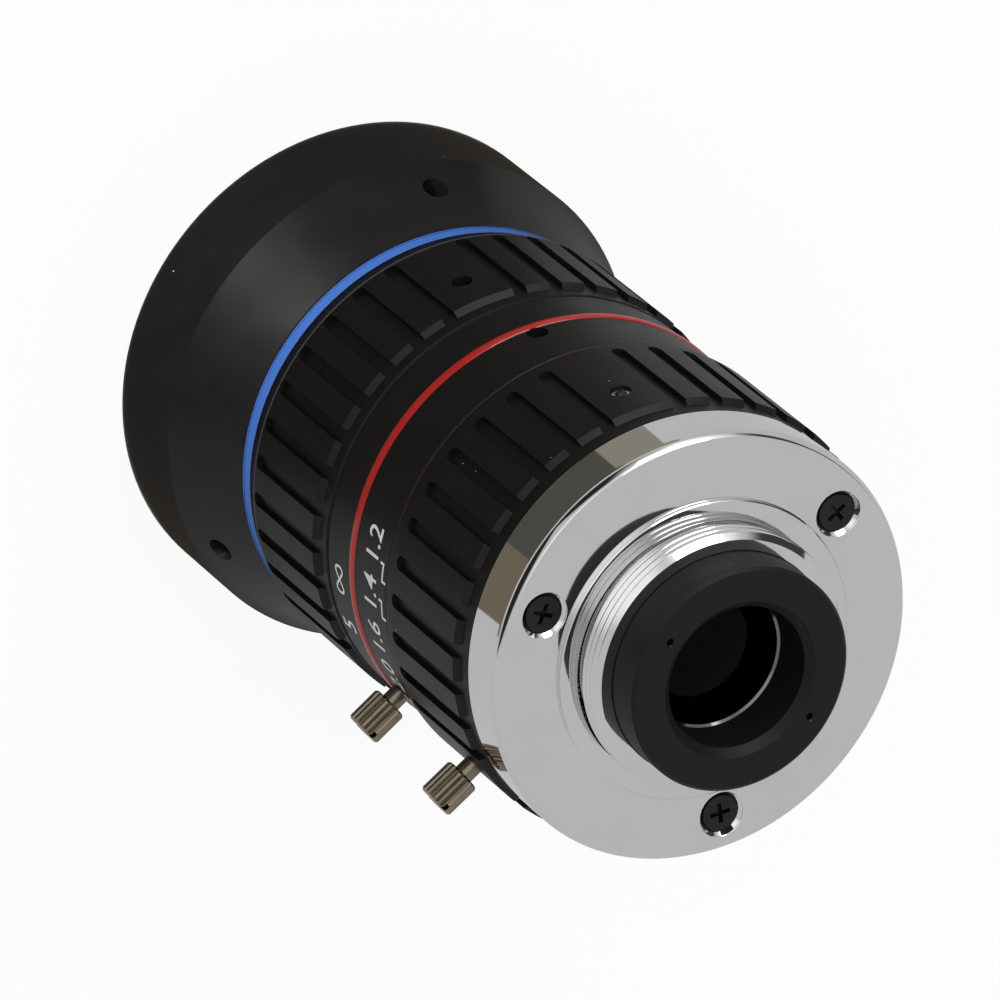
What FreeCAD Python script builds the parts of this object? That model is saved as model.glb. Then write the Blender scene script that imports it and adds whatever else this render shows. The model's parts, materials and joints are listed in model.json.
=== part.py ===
import FreeCAD, Part
import math
import os
import Sketcher

# A fixed focal length lens for a machine vision camera, standing on its front bell.
# +Z is the optical axis towards the camera. The origin is on that axis, in the plane of the seat
# that meets the camera. Lengths are in millimetres, angles in degrees.

Vector = FreeCAD.Vector
Rotation = FreeCAD.Rotation
Placement = FreeCAD.Placement

doc = FreeCAD.newDocument("machine_vision_lens")
sheet = doc.addObject("Spreadsheet::Sheet", "Sizes")

# Driving dimensions: name, value, what it sizes.
DIMENSIONS = [
    ("fit_gap", 0.02, "radial gap between pieces assembled for good"),
    ("running_gap", 0.05, "radial gap between pieces that slide or turn"),
    ("ring_seam", 0.1, "axial seam each side of a turning ring"),
    ("edge_break", 0.2, "small chamfer on outer edges"),
    ("flange_step", 0.12, "chrome flange proud of the barrel's band"),
    ("flange_thickness", 5.25, "chrome flange, front face to rear face"),
    ("flange_chamfer_width", 0.5, "radial size of the flange's rear chamfer"),
    ("flange_chamfer_depth", 0.85, "axial size of the flange's rear chamfer"),
    ("seat_width", 1.9, "seat, from the thread outwards"),
    ("seat_height", 0.5, "height of the seat above the flange"),
    ("seat_chamfer", 0.1, "edge of the seat"),
    ("thread_radius", 12.7, "crest of the mount thread, 1 inch"),
    ("thread_length", 2.95, "seat to the end of the mount thread"),
    ("thread_chamfer", 0.8, "lead of the mount thread"),
    ("relief_depth", 0.5, "undercut behind the thread"),
    ("relief_length", 0.5, "length of that undercut"),
    ("relief_step", 0.1, "undercut below the seat"),
    ("mount_wall", 1.75, "wall under the mount thread"),
    ("mount_bore_chamfer", 0.23, "chamfer at the end of that bore"),
    ("mount_screw_offset", 0.15, "mount screws outside the middle of the barrel's rear face"),
    ("spigot_step", 0.25, "spigot outside the iris bore"),
    ("spigot_length", 2.2, "length of that spigot"),
    ("mount_screw_count", 3, "screws that hold the mount"),
    ("mount_screw_radius", 1.0, "thread of a mount screw"),
    ("mount_screw_length", 6.5, "head to tip"),
    ("mount_screw_clearance", 1.15, "hole in the flange for a mount screw"),
    ("mount_screw_head", 1.75, "head of a mount screw"),
    ("mount_screw_head_edge", 0.23, "straight edge of that head"),
    ("mount_screw_sunk", 0.3, "head below the flange's face"),
    ("mount_sink_radius", 2.0, "countersink in the flange"),
    ("cross_width", 0.42, "width of a cross recess arm"),
    ("cross_length", 2.0, "span of a cross recess"),
    ("cross_depth", 0.7, "depth of a cross recess"),
    ("tap_depth", 5.2, "depth of a tapped hole in the barrel's rear face"),
    ("aperture_ring_length", 16.45, "aperture ring"),
    ("land_height", 0.55, "lands of both grip rings above the plain bands"),
    ("rim_step", 0.07, "plain bands of the rings proud of the barrel's band"),
    ("groove_depth", 0.55, "grip groove below the land"),
    ("groove_width", 1.35, "grip groove"),
    ("groove_pitch", 10.0, "angle from groove to groove"),
    ("grooves_per_third", 11, "grooves between two screw lands"),
    ("aperture_groove_start", 2.9, "ring's front to the middle of a groove's round end"),
    ("aperture_band_length", 1.45, "plain band at the rear of the aperture ring"),
    ("land_chamfer", 0.5, "chamfer at the rear of each land"),
    ("land_taper", 1.6, "front of each grip ring, where it rises from the rim to the lands"),
    ("focus_groove_start", 2.5, "focus ring's front to the middle of a groove's round end"),
    ("focus_band_length", 1.4, "plain band at the rear of the focus ring"),
    ("focus_ring_length", 15.8, "focus ring"),
    ("lock_hole_radius", 1.0, "tapped hole for a lock or set screw"),
    ("focus_hole_height", 9.7, "focus ring's front to its tapped holes"),
    ("ring_screw_angle", 60.0, "angle of the first row of tapped holes"),
    ("screw_rows", 3, "rows of tapped holes about the axis"),
    ("aperture_turn", -0.6, "aperture ring as it is set"),
    ("focus_turn", 3.5, "focus ring as it is set"),
    ("neck_step", 1.88, "neck under the aperture ring, below the band"),
    ("band_length", 11.9, "barrel's visible band"),
    ("bead_width", 1.0, "painted bead on the band"),
    ("bead_height", 0.2, "height of that bead"),
    ("bead_place", 6.95, "band's rear edge to the middle of the bead"),
    ("lock_place", 5.55, "band's rear edge to the lock screw holes"),
    ("neck_wall", 3.95, "wall of the neck, outside the iris"),
    ("band_wall", 1.58, "wall under the band, round the focus sleeve"),
    ("focus_bore_depth", 7.9, "depth of that bore"),
    ("iris_seat_width", 0.85, "shoulder that the iris sits on"),
    ("iris_bore_depth", 11.85, "barrel's rear face to the seat of the iris"),
    ("spigot_recess_depth", 2.3, "recess for the mount's spigot"),
    ("drive_slot_height", 2.1, "slot in the barrel for the iris drive screw"),
    ("drive_slot_angle", 80.0, "angle of that slot"),
    ("aperture_open", 48.0, "turn of the aperture ring from its setting to full opening"),
    ("aperture_close", 20.0, "turn of the aperture ring from its setting to the smallest opening"),
    ("sleeve_step", 0.8, "focus sleeve inside the barrel's front bore"),
    ("sleeve_wall", 1.6, "wall of the focus sleeve"),
    ("sleeve_setback", 0.4, "focus ring's front to the sleeve's front"),
    ("sleeve_flange_length", 2.8, "length of that flange"),
    ("sleeve_end_gap", 0.1, "flange to the barrel's shoulder"),
    ("ring_relief_depth", 1.0, "relief inside the focus ring"),
    ("ring_seat_length", 3.2, "front seat of the focus ring on its sleeve"),
    ("ring_rear_seat_length", 7.5, "rear seat of the focus ring on its sleeve"),
    ("retainer_length", 4.2, "threaded ring that traps the sleeve"),
    ("retainer_setback", 0.6, "barrel's front to that ring"),
    ("front_head_step", 0.2, "head of the front barrel inside the sleeve's size"),
    ("front_head_wall", 3.25, "wall round the second lens"),
    ("second_bore_depth", 7.4, "front barrel's front to the seat of the second lens"),
    ("front_head_gap", 0.1, "head of the front barrel inside the bell's rear face"),
    ("front_tube_gap", 1.8, "front barrel to the shoulder in the barrel"),
    ("second_lip_width", 2.25, "lip behind the second lens"),
    ("middle_step", 0.55, "passage between the lenses, inside the third bore"),
    ("front_tube_wall", 3.3, "wall round the third lens"),
    ("third_seat_place", 15.4, "front barrel's front to the seat of the third lens"),
    ("third_lip_width", 1.75, "lip in front of the third lens"),
    ("lip_length", 1.0, "length of a lens lip"),
    ("guide_inset", 1.55, "guide pins inside the front barrel's surface"),
    ("guide_radius", 0.8, "guide pin"),
    ("guide_length", 11.5, "guide pin"),
    ("guide_press_depth", 4.0, "guide pin held in the barrel"),
    ("guide_count", 3, "guide pins"),
    ("guide_hole_depth", 9.0, "guide hole in the front barrel"),
    ("bell_flare", 3.15, "bell's rim outside its small end"),
    ("bell_length", 21.2, "bell"),
    ("bell_rim_length", 10.3, "straight part of the bell"),
    ("bell_rear_length", 1.9, "straight part behind the cone"),
    ("stripe_place", 1.0, "bell's rear face to the middle of the painted stripe"),
    ("stripe_width", 0.95, "painted stripe"),
    ("stripe_depth", 0.06, "painted stripe"),
    ("bell_rim_wall", 1.5, "wall round the filter thread"),
    ("filter_depth", 4.5, "depth of the filter thread"),
    ("hood_front_step", 0.8, "front of the hood's cone inside the filter thread"),
    ("hood_rear_step", 0.45, "rear of the hood's cone outside the lens bore"),
    ("hood_length", 1.6, "length of that cone"),
    ("bell_rear_wall", 1.8, "wall of the bell's small end"),
    ("front_seat_place", 11.0, "bell's front to the seat of the front lens"),
    ("front_lip_width", 2.35, "lip behind the front lens"),
    ("front_lip_length", 1.0, "length of that lip"),
    ("bell_screw_angle", 48.0, "angle of the first set screw in the bell"),
    ("bell_screw_height", 14.0, "bell's front to its set screws"),
    ("bell_screw_hole", 1.25, "tapped hole in the bell"),
    ("bell_screw_length", 2.6, "set screw in the bell"),
    ("ring_screw_length", 2.0, "set screw in the focus ring"),
    ("hex_size", 0.55, "hexagon socket, centre to flat"),
    ("hex_depth", 1.0, "depth of the hexagon socket"),
    ("focus_travel", 2.0, "travel of the front group"),
    ("lens_gap", 0.05, "radial gap round a lens"),
    ("front_lens_edge", 3.0, "front lens at its edge"),
    ("front_lens_front_curve", 70.0, "front surface, convex"),
    ("front_lens_rear_curve", 30.0, "rear surface, concave"),
    ("front_lens_flat", 4.6, "flat ring round the hollow at the rear"),
    ("second_lens_edge", 4.2, "second lens at its edge"),
    ("second_lens_front_curve", 60.0, "front surface, convex"),
    ("second_lens_rear_curve", 22.0, "rear surface, concave"),
    ("second_lens_flat", 2.8, "flat ring round the hollow at the rear"),
    ("third_lens_edge", 3.0, "third lens at its edge"),
    ("third_lens_front_curve", 30.0, "front surface, convex"),
    ("third_lens_flat", 2.0, "flat ring round the front surface"),
    ("third_lens_rear_curve", 40.0, "rear surface, convex"),
    ("lens_ring_length", 1.5, "threaded ring that holds a lens"),
    ("lens_ring_width", 1.7, "radial width of that ring"),
    ("lens_ring_gap", 0.08, "ring to the glass"),
    ("spanner_slot", 1.2, "width of a spanner slot"),
    ("spanner_slot_depth", 0.7, "depth of a spanner slot"),
    ("cell_rear", 6.9, "seat to the rear face of the cell"),
    ("cell_chamfer", 0.3, "rear outer edge of the cell"),
    ("cell_end_wall", 4.03, "wall of the cell's rear end"),
    ("cell_mouth_bevel", 0.75, "bevel of that bore"),
    ("cell_mouth_length", 5.6, "depth of that bore"),
    ("cell_wall", 2.28, "wall round the rear lenses"),
    ("cell_hole_inset", 2.08, "spanner holes inside the cell's edge"),
    ("cell_hole_radius", 0.42, "spanner hole"),
    ("cell_hole_depth", 1.0, "spanner hole"),
    ("cell_hole_angle", 106.5, "angle of the first spanner hole"),
    ("rear_lens_edge", 2.2, "rear lens at its edge"),
    ("rear_lens_rear_curve", 24.0, "rear surface, convex"),
    ("rear_lens_flat", 1.75, "flat ring round the rear surface"),
    ("rear_lens_front_curve", 60.0, "front surface, convex"),
    ("spacer_length", 2.4, "ring between the rear lens and the pair"),
    ("spacer_width", 1.2, "radial width of that ring"),
    ("pair_rear_edge", 3.4, "convex glass of the pair at its edge"),
    ("pair_front_centre", 0.9, "hollow glass of the pair at its centre"),
    ("pair_inner_curve", 14.0, "cemented surface"),
    ("cement_gap", 0.02, "cement between the pair"),
    ("pair_rear_curve", 45.0, "rear surface of the pair, convex"),
    ("pair_rear_flat", 1.3, "flat ring round that surface"),
    ("pair_front_curve", 40.0, "front surface of the pair, hollow"),
    ("pair_front_flat", 1.6, "flat ring round both front surfaces"),
    ("iris_opening_inset", 7.85, "full opening of the iris inside its bore"),
    ("iris_cover_thickness", 0.6, "plate in front of the blades"),
    ("blade_room", 1.9, "room for the blades"),
    ("pivot_plate_thickness", 1.2, "plate that holds the blades' pivots"),
    ("pivot_plate_width", 2.55, "radial width of the plate that holds the pivots"),
    ("cam_hub_thickness", 2.1, "slotted web of the cam ring"),
    ("cell_clearance", 0.37, "rear cell inside the cam ring"),
    ("cam_step", 1.1, "bore of the cam ring's rim inside its hub"),
    ("iris_gap", 0.6, "rear cell to the cam ring's web"),
    ("cam_gap", 0.1, "cam ring to its neighbours"),
    ("cam_rim_length", 3.7, "rim of the cam ring"),
    ("iris_ring_length", 0.9, "ring that keeps the iris in the barrel"),
    ("iris_ring_width", 2.15, "radial width of the ring that keeps the iris in"),
    ("drive_hole_radius", 0.65, "hole in the cam ring for the drive screw"),
    ("drive_tip_radius", 0.6, "plain tip of the drive screw"),
    ("drive_tip_depth", 1.6, "drive screw in the cam ring"),
    ("drive_screw_sunk", 0.3, "drive screw below the land"),
    ("blade_count", 6, "iris blades"),
    ("blade_angle", 102.0, "span of a blade"),
    ("blade_width", 4.6, "width of a blade"),
    ("blade_thickness", 0.06, "iris blade"),
    ("blade_tilt_angle", 4.6, "slope of a blade, so that it passes under its neighbour"),
    ("blade_slope_angle", 152.0, "direction in which a blade slopes down from its pivot"),
    ("pivot_inset", 1.65, "blade pivots inside the iris bore"),
    ("blade_pin_radius", 0.35, "pins riveted in a blade"),
    ("blade_arm", 4.2, "pivot to drive pin"),
    ("blade_arm_angle", 128.0, "angle of that arm with the blade open"),
    ("blade_swing", 25.5, "turn of a blade from open to closed"),
    ("blade_tab_radius", 1.0, "round tab about a pivot"),
    ("thumb_head_radius", 1.78, "knurled head of a lock screw"),
    ("thumb_head_length", 3.55, "length of that head"),
    ("thumb_knurl_count", 20, "ridges of the knurl"),
    ("thumb_knurl_depth", 0.17, "depth of the knurl"),
    ("thumb_slot_width", 0.5, "slot in the head"),
    ("thumb_slot_depth", 0.6, "slot in the head"),
    ("thumb_stand", 1.35, "head above the ring"),
    ("thumb_shank_radius", 0.96, "thread of a lock screw"),
    ("thumb_tip_gap", 0.1, "tip of a lock screw to what it locks"),
]

for row, (alias, value, note) in enumerate(DIMENSIONS, start=1):
    sheet.set(f"A{row}", alias)
    sheet.set(f"B{row}", str(value))
    sheet.set(f"C{row}", note)
    sheet.setAlias(f"B{row}", alias)
doc.recompute()


class Size:
    """A number together with the sheet expression that gives it."""

    def __init__(self, text, value):
        self.text = text
        self.value = value

    @staticmethod
    def of(other):
        return other if isinstance(other, Size) else Size(repr(float(other)), float(other))

    def __add__(self, other):
        other = Size.of(other)
        return Size(f"({self.text} + {other.text})", self.value + other.value)

    def __sub__(self, other):
        other = Size.of(other)
        return Size(f"({self.text} - {other.text})", self.value - other.value)

    def __mul__(self, other):
        other = Size.of(other)
        return Size(f"({self.text} * {other.text})", self.value * other.value)

    def __truediv__(self, other):
        other = Size.of(other)
        return Size(f"({self.text} / {other.text})", self.value / other.value)

    def __radd__(self, other):
        return Size.of(other) + self

    def __rsub__(self, other):
        return Size.of(other) - self

    def __neg__(self):
        return Size.of(0) - self


def root(size):
    return Size(f"sqrt({size.text})", math.sqrt(size.value))


class Sizes:
    """Each named dimension of the sheet, as a Size."""

    def __getattr__(self, alias):
        return Size(f"Sizes.{alias}", float(getattr(sheet, alias)))


s = Sizes()


def count(size):
    return int(round(size.value))



# Radii, outwards from the mount thread to the barrel's band, then through the front.
mount_bore = s.thread_radius - s.mount_wall
cell_radius = mount_bore - s.fit_gap
cell_mouth = cell_radius - s.cell_end_wall
cell_bore = cell_radius - s.cell_wall
cell_hole_circle = cell_radius - s.cell_hole_inset
rear_lens_radius = cell_bore - s.lens_gap
rear_lens_rear_clear = rear_lens_radius - s.rear_lens_flat
pair_rear_clear = rear_lens_radius - s.pair_rear_flat
pair_front_clear = rear_lens_radius - s.pair_front_flat
cam_rim_bore = cell_radius + s.cell_clearance
cam_hub_radius = cam_rim_bore + s.cam_step
pivot_plate_bore = cam_hub_radius + s.cam_gap
iris_bore = pivot_plate_bore + s.pivot_plate_width
iris_clear = iris_bore - s.iris_opening_inset
iris_ring_bore = iris_bore - s.iris_ring_width
blade_pivot_circle = iris_bore - s.pivot_inset
barrel_bore = iris_bore - s.iris_seat_width
neck_radius = iris_bore + s.neck_wall
band_radius = neck_radius + s.neck_step
rim_radius = band_radius + s.rim_step
land_radius = rim_radius + s.land_height
flange_radius = band_radius + s.flange_step
seat_radius = s.thread_radius + s.seat_width
spigot_radius = iris_bore + s.spigot_step
mount_screw_circle = (spigot_radius + neck_radius) / 2 + s.mount_screw_offset
focus_bore = band_radius - s.band_wall
sleeve_radius = focus_bore - s.sleeve_step
sleeve_flange_radius = focus_bore - s.running_gap
sleeve_bore = sleeve_radius - s.sleeve_wall
front_tube_radius = sleeve_bore - s.running_gap
guide_circle = front_tube_radius - s.guide_inset
third_bore = front_tube_radius - s.front_tube_wall
third_lip = third_bore - s.third_lip_width
third_lens_radius = third_bore - s.lens_gap
third_lens_front_clear = third_lens_radius - s.third_lens_flat
middle_bore = third_bore - s.middle_step
front_head_radius = sleeve_radius - s.front_head_step
second_bore = front_head_radius - s.front_head_wall
second_lip = second_bore - s.second_lip_width
second_lens_radius = second_bore - s.lens_gap
second_lens_rear_clear = second_lens_radius - s.second_lens_flat
bell_rear_radius = rim_radius
bell_radius = bell_rear_radius + s.bell_flare
filter_bore = bell_radius - s.bell_rim_wall
front_lens_bore = bell_rear_radius - s.bell_rear_wall
front_lip = front_lens_bore - s.front_lip_width
front_lens_radius = front_lens_bore - s.lens_gap
front_lens_rear_clear = front_lens_radius - s.front_lens_flat
hood_front_radius = filter_bore - s.hood_front_step
hood_rear_radius = front_lens_bore + s.hood_rear_step


def sagitta(curve, radius):
    """Depth of a spherical surface over a radius."""
    return curve - root(curve * curve - radius * radius)


# Places along the axis, from the seat forwards.
flange_rear = -s.seat_height
flange_front = flange_rear - s.flange_thickness
aperture_front = flange_front - s.ring_seam - s.aperture_ring_length
band_rear = aperture_front - s.ring_seam
barrel_front = band_rear - s.band_length
focus_front = barrel_front - s.ring_seam - s.focus_ring_length
bell_rear = focus_front - s.ring_seam
bell_front = bell_rear - s.bell_length
front_barrel_front = bell_front + s.front_seat_place + s.front_lip_length + s.ring_seam
barrel_length = flange_front - barrel_front
front_head_rear = bell_rear - s.front_head_gap
front_head_length = front_head_rear - front_barrel_front
front_barrel_rear = barrel_front + s.focus_bore_depth - s.front_tube_gap
front_barrel_length = front_barrel_rear - front_barrel_front
rear_lens_front = s.cell_rear - s.cell_mouth_length - s.rear_lens_edge
spacer_front = rear_lens_front - s.spacer_length
pair_middle = spacer_front - s.pair_rear_edge
pair_inner_rise = sagitta(s.pair_inner_curve, pair_front_clear)
pair_front_rise = sagitta(s.pair_front_curve, pair_front_clear)
pair_front_edge = pair_inner_rise + pair_front_rise + s.pair_front_centre
pair_front = pair_middle - s.cement_gap - pair_front_edge
iris_front = flange_front - s.iris_bore_depth
pivot_plate_front = iris_front + s.iris_cover_thickness + s.blade_room
cam_front = pivot_plate_front
cell_front = cam_front + s.cam_hub_thickness + s.iris_gap
cell_length = s.cell_rear - cell_front
cam_rim_front = pivot_plate_front + s.pivot_plate_thickness + s.cam_gap
drive_height = cam_rim_front + s.cam_rim_length / 2
iris_ring_front = cam_rim_front + s.cam_rim_length + s.cam_gap
row_step = 360 / count(s.screw_rows)
sub_parts = []


def origin_plane(body, role):
    return next(item for item in body.Origin.OriginFeatures if item.Role == role)


def name_constraint(sketch, index, name, size):
    sketch.renameConstraint(index, name)
    sketch.setExpression(f"Constraints.{name}", size.text)


def place_point(sketch, geometry, end, name, x, y):
    """Bind a sketch point to two sizes, each zero or more."""
    if x.value == 0:
        sketch.addConstraint(Sketcher.Constraint("PointOnObject", geometry, end, -2))
    else:
        index = sketch.addConstraint(Sketcher.Constraint("DistanceX", -1, 1, geometry, end, x.value))
        name_constraint(sketch, index, name + "_r", x)
    if y.value == 0:
        sketch.addConstraint(Sketcher.Constraint("PointOnObject", geometry, end, -1))
    else:
        index = sketch.addConstraint(Sketcher.Constraint("DistanceY", -1, 1, geometry, end, y.value))
        name_constraint(sketch, index, name + "_z", y)


def new_sketch(body, name, role):
    sketch = body.newObject("Sketcher::SketchObject", name)
    sketch.AttachmentSupport = (origin_plane(body, role), "")
    sketch.MapMode = "FlatFace"
    return sketch


def draw_outline(sketch, outline):
    """Close a polygon through corners (radius, height); a third value is the radius of an arc
    that bulges outwards on the way to the next corner."""
    corners = [(Size.of(corner[0]), Size.of(corner[1])) for corner in outline]
    ends = corners[1:] + corners[:1]
    for corner, here, there in zip(outline, corners, ends):
        start = Vector(here[0].value, here[1].value, 0)
        end = Vector(there[0].value, there[1].value, 0)
        if len(corner) == 3:
            half = (end - start).Length / 2
            bulge = corner[2].value - math.sqrt(corner[2].value ** 2 - half**2)
            middle = (start + end) / 2 + Vector(bulge, 0, 0)
            sketch.addGeometry(Part.Arc(start, middle, end), False)
        else:
            sketch.addGeometry(Part.LineSegment(start, end), False)
    total = len(outline)
    points = []
    for index, corner in enumerate(outline):
        points.append(arc_ends(sketch, index, corners[index]) if len(corner) == 3 else (1, 2))
    for index in range(total):
        following = (index + 1) % total
        joined = (index, points[index][1], following, points[following][0])
        sketch.addConstraint(Sketcher.Constraint("Coincident", *joined))
    for index, (x, y) in enumerate(corners):
        place_point(sketch, index, points[index][0], f"p{index}", x, y)
    for index, corner in enumerate(outline):
        if len(corner) == 3:
            radius = sketch.addConstraint(Sketcher.Constraint("Radius", index, corner[2].value))
            name_constraint(sketch, radius, f"arc{index}", corner[2])


def arc_ends(sketch, index, corner):
    """An arc's ends may be stored the other way round: find which one lies on its corner."""
    at_start = sketch.getPoint(index, 1)
    near = abs(at_start.x - corner[0].value) + abs(at_start.y - corner[1].value) < 1e-6
    return (1, 2) if near else (2, 1)


def turned(label, outline):
    """A body revolved about Z from its outline, with its front end at height zero."""
    body = doc.addObject("PartDesign::Body", label)
    sketch = new_sketch(body, label + "_profile", "XZ_Plane")
    draw_outline(sketch, outline)
    revolution = body.newObject("PartDesign::Revolution", label + "_turned")
    revolution.Profile = sketch
    revolution.ReferenceAxis = (sketch, ["V_Axis"])
    revolution.Angle = 360
    doc.recompute()
    return body


def repeat(body, feature, name, copies):
    """Repeat a feature evenly about Z and make it the tip."""
    pattern = body.newObject("PartDesign::PolarPattern", name)
    pattern.Originals = [feature]
    pattern.Axis = (origin_plane(body, "Z_Axis"), [""])
    pattern.Angle = 360
    pattern.Occurrences = count(copies)
    pattern.setExpression("Occurrences", copies.text)
    body.Tip = pattern
    doc.recompute()
    return pattern


def check_removed(feature, volume, name):
    if feature.Shape.Volume > volume - 1e-4:
        raise RuntimeError(f"{name} removed nothing")


def radial_holes(body, name, height, radius, angle, copies):
    """Holes from the axis outwards through the wall, the first at an angle about Z."""
    before = body.Shape.Volume
    sketch = new_sketch(body, name + "_sketch", "YZ_Plane")
    sketch.AttachmentOffset = Placement(Vector(), Rotation(Vector(0, 1, 0), angle.value))
    sketch.setExpression("AttachmentOffset.Rotation.Angle", angle.text)
    circle = Part.Circle(Vector(0, height.value, 0), Vector(0, 0, 1), radius.value)
    sketch.addGeometry(circle, False)
    sketch.addConstraint(Sketcher.Constraint("PointOnObject", 0, 3, -2))
    index = sketch.addConstraint(Sketcher.Constraint("DistanceY", -1, 1, 0, 3, height.value))
    name_constraint(sketch, index, "height", height)
    index = sketch.addConstraint(Sketcher.Constraint("Radius", 0, radius.value))
    name_constraint(sketch, index, "radius", radius)
    pocket = body.newObject("PartDesign::Pocket", name)
    pocket.Profile = sketch
    pocket.Type = "ThroughAll"
    pocket.Reversed = True
    doc.recompute()
    if copies is not None:
        repeat(body, pocket, name + "_ring", copies)
    check_removed(body, before, name)


def axial_holes(body, name, circle_radius, start, depth, radius, copies, rearwards=True):
    """Blind holes parallel to Z on a circle, cut from a height, up or down."""
    before = body.Shape.Volume
    sketch = new_sketch(body, name + "_sketch", "XY_Plane")
    sketch.AttachmentOffset = Placement(Vector(0, 0, start.value), Rotation())
    sketch.setExpression("AttachmentOffset.Base.z", start.text)
    circle = Part.Circle(Vector(circle_radius.value, 0, 0), Vector(0, 0, 1), radius.value)
    sketch.addGeometry(circle, False)
    sketch.addConstraint(Sketcher.Constraint("PointOnObject", 0, 3, -1))
    index = sketch.addConstraint(Sketcher.Constraint("DistanceX", -1, 1, 0, 3, circle_radius.value))
    name_constraint(sketch, index, "circle", circle_radius)
    index = sketch.addConstraint(Sketcher.Constraint("Radius", 0, radius.value))
    name_constraint(sketch, index, "radius", radius)
    pocket = body.newObject("PartDesign::Pocket", name)
    pocket.Profile = sketch
    pocket.Type = "Length"
    pocket.Length = depth.value
    pocket.setExpression("Length", depth.text)
    pocket.Reversed = rearwards
    doc.recompute()
    repeat(body, pocket, name + "_ring", copies)
    check_removed(body, before, name)


def finish(item, height=None, turn=None):
    """Put a sub-part at its place on the axis and keep it for the export."""
    if height is not None:
        item.setExpression("Placement.Base.z", height.text)
    if turn is not None:
        item.Placement = Placement(item.Placement.Base, Rotation(Vector(0, 0, 1), turn.value))
        item.setExpression("Placement.Rotation.Angle", turn.text)
    sub_parts.append(item)
    return item


def shaped(label, shape):
    """A sub-part whose shape is worked out from the sheet's values."""
    item = doc.addObject("Part::Feature", label)
    item.Shape = shape
    sub_parts.append(item)
    return item


def grip_ring(label, outline, groove_start, length, hole_height):
    """A ring with thirty-three grip grooves and three tapped holes on the plain lands."""
    body = turned(label, outline)
    before = body.Shape.Volume
    sketch = new_sketch(body, label + "_groove_sketch", "YZ_Plane")
    sketch.AttachmentOffset = Placement(Vector(0, 0, land_radius.value), Rotation())
    sketch.setExpression("AttachmentOffset.Base.z", land_radius.text)
    half = (s.groove_width / 2).value
    start = groove_start.value
    end = length.value
    sketch.addGeometry(Part.LineSegment(Vector(half, start, 0), Vector(half, end, 0)), False)
    sketch.addGeometry(Part.LineSegment(Vector(half, end, 0), Vector(-half, end, 0)), False)
    sketch.addGeometry(Part.LineSegment(Vector(-half, end, 0), Vector(-half, start, 0)), False)
    round_end = Part.Circle(Vector(0, start, 0), Vector(0, 0, 1), half)
    sketch.addGeometry(Part.ArcOfCircle(round_end, math.pi, 2 * math.pi), False)
    for constraint in [
        ("Coincident", 0, 2, 1, 1),
        ("Coincident", 1, 2, 2, 1),
        ("Tangent", 2, 2, 3, 1),
        ("Tangent", 3, 2, 0, 1),
        ("Vertical", 0),
        ("Horizontal", 1),
        ("PointOnObject", 3, 3, -2),
    ]:
        sketch.addConstraint(Sketcher.Constraint(*constraint))
    index = sketch.addConstraint(Sketcher.Constraint("Radius", 3, half))
    name_constraint(sketch, index, "half_width", s.groove_width / 2)
    index = sketch.addConstraint(Sketcher.Constraint("DistanceY", -1, 1, 3, 3, start))
    name_constraint(sketch, index, "round_end", groove_start)
    index = sketch.addConstraint(Sketcher.Constraint("DistanceY", -1, 1, 0, 2, end))
    name_constraint(sketch, index, "open_end", length)
    groove = body.newObject("PartDesign::Pocket", label + "_groove")
    groove.Profile = sketch
    groove.Type = "Length"
    groove.Length = s.groove_depth.value
    groove.setExpression("Length", s.groove_depth.text)
    doc.recompute()
    grip = body.newObject("PartDesign::MultiTransform", label + "_grip")
    grip.Originals = [groove]
    run = body.newObject("PartDesign::PolarPattern", label + "_grip_run")
    run.Axis = (origin_plane(body, "Z_Axis"), [""])
    run.setExpression("Angle", (s.groove_pitch * (s.grooves_per_third - 1)).text)
    run.setExpression("Occurrences", s.grooves_per_third.text)
    thirds = body.newObject("PartDesign::PolarPattern", label + "_grip_thirds")
    thirds.Axis = (origin_plane(body, "Z_Axis"), [""])
    thirds.Angle = 360
    thirds.setExpression("Occurrences", s.screw_rows.text)
    grip.Transformations = [run, thirds]
    body.Tip = grip
    doc.recompute()
    check_removed(body, before, label + " grooves")
    radial_holes(body, label + "_holes", hole_height, s.lock_hole_radius, -s.groove_pitch, s.screw_rows)
    return body


def spanner_slots(body, height, depth, width, reach, rearwards):
    """One slot across a ring's face, for a spanner."""
    before = body.Shape.Volume
    sketch = new_sketch(body, body.Label + "_slot_sketch", "XY_Plane")
    sketch.AttachmentOffset = Placement(Vector(0, 0, height.value), Rotation())
    sketch.setExpression("AttachmentOffset.Base.z", height.text)
    half = (width / 2).value
    far = reach.value
    corners = [Vector(-far, -half, 0), Vector(far, -half, 0), Vector(far, half, 0), Vector(-far, half, 0)]
    for first, second in zip(corners, corners[1:] + corners[:1]):
        sketch.addGeometry(Part.LineSegment(first, second), False)
    for index in range(4):
        sketch.addConstraint(Sketcher.Constraint("Coincident", index, 2, (index + 1) % 4, 1))
    for index, kind in enumerate(["Horizontal", "Vertical", "Horizontal", "Vertical"]):
        sketch.addConstraint(Sketcher.Constraint(kind, index))
    sketch.addConstraint(Sketcher.Constraint("Symmetric", 0, 1, 1, 2, -1, 1))
    index = sketch.addConstraint(Sketcher.Constraint("DistanceX", -1, 1, 1, 2, far))
    name_constraint(sketch, index, "reach", reach)
    index = sketch.addConstraint(Sketcher.Constraint("DistanceY", -1, 1, 1, 2, half))
    name_constraint(sketch, index, "half_width", width / 2)
    pocket = body.newObject("PartDesign::Pocket", body.Label + "_slot")
    pocket.Profile = sketch
    pocket.Type = "Length"
    pocket.Length = depth.value
    pocket.setExpression("Length", depth.text)
    pocket.Reversed = rearwards
    doc.recompute()
    check_removed(body, before, body.Label + " slot")


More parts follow.
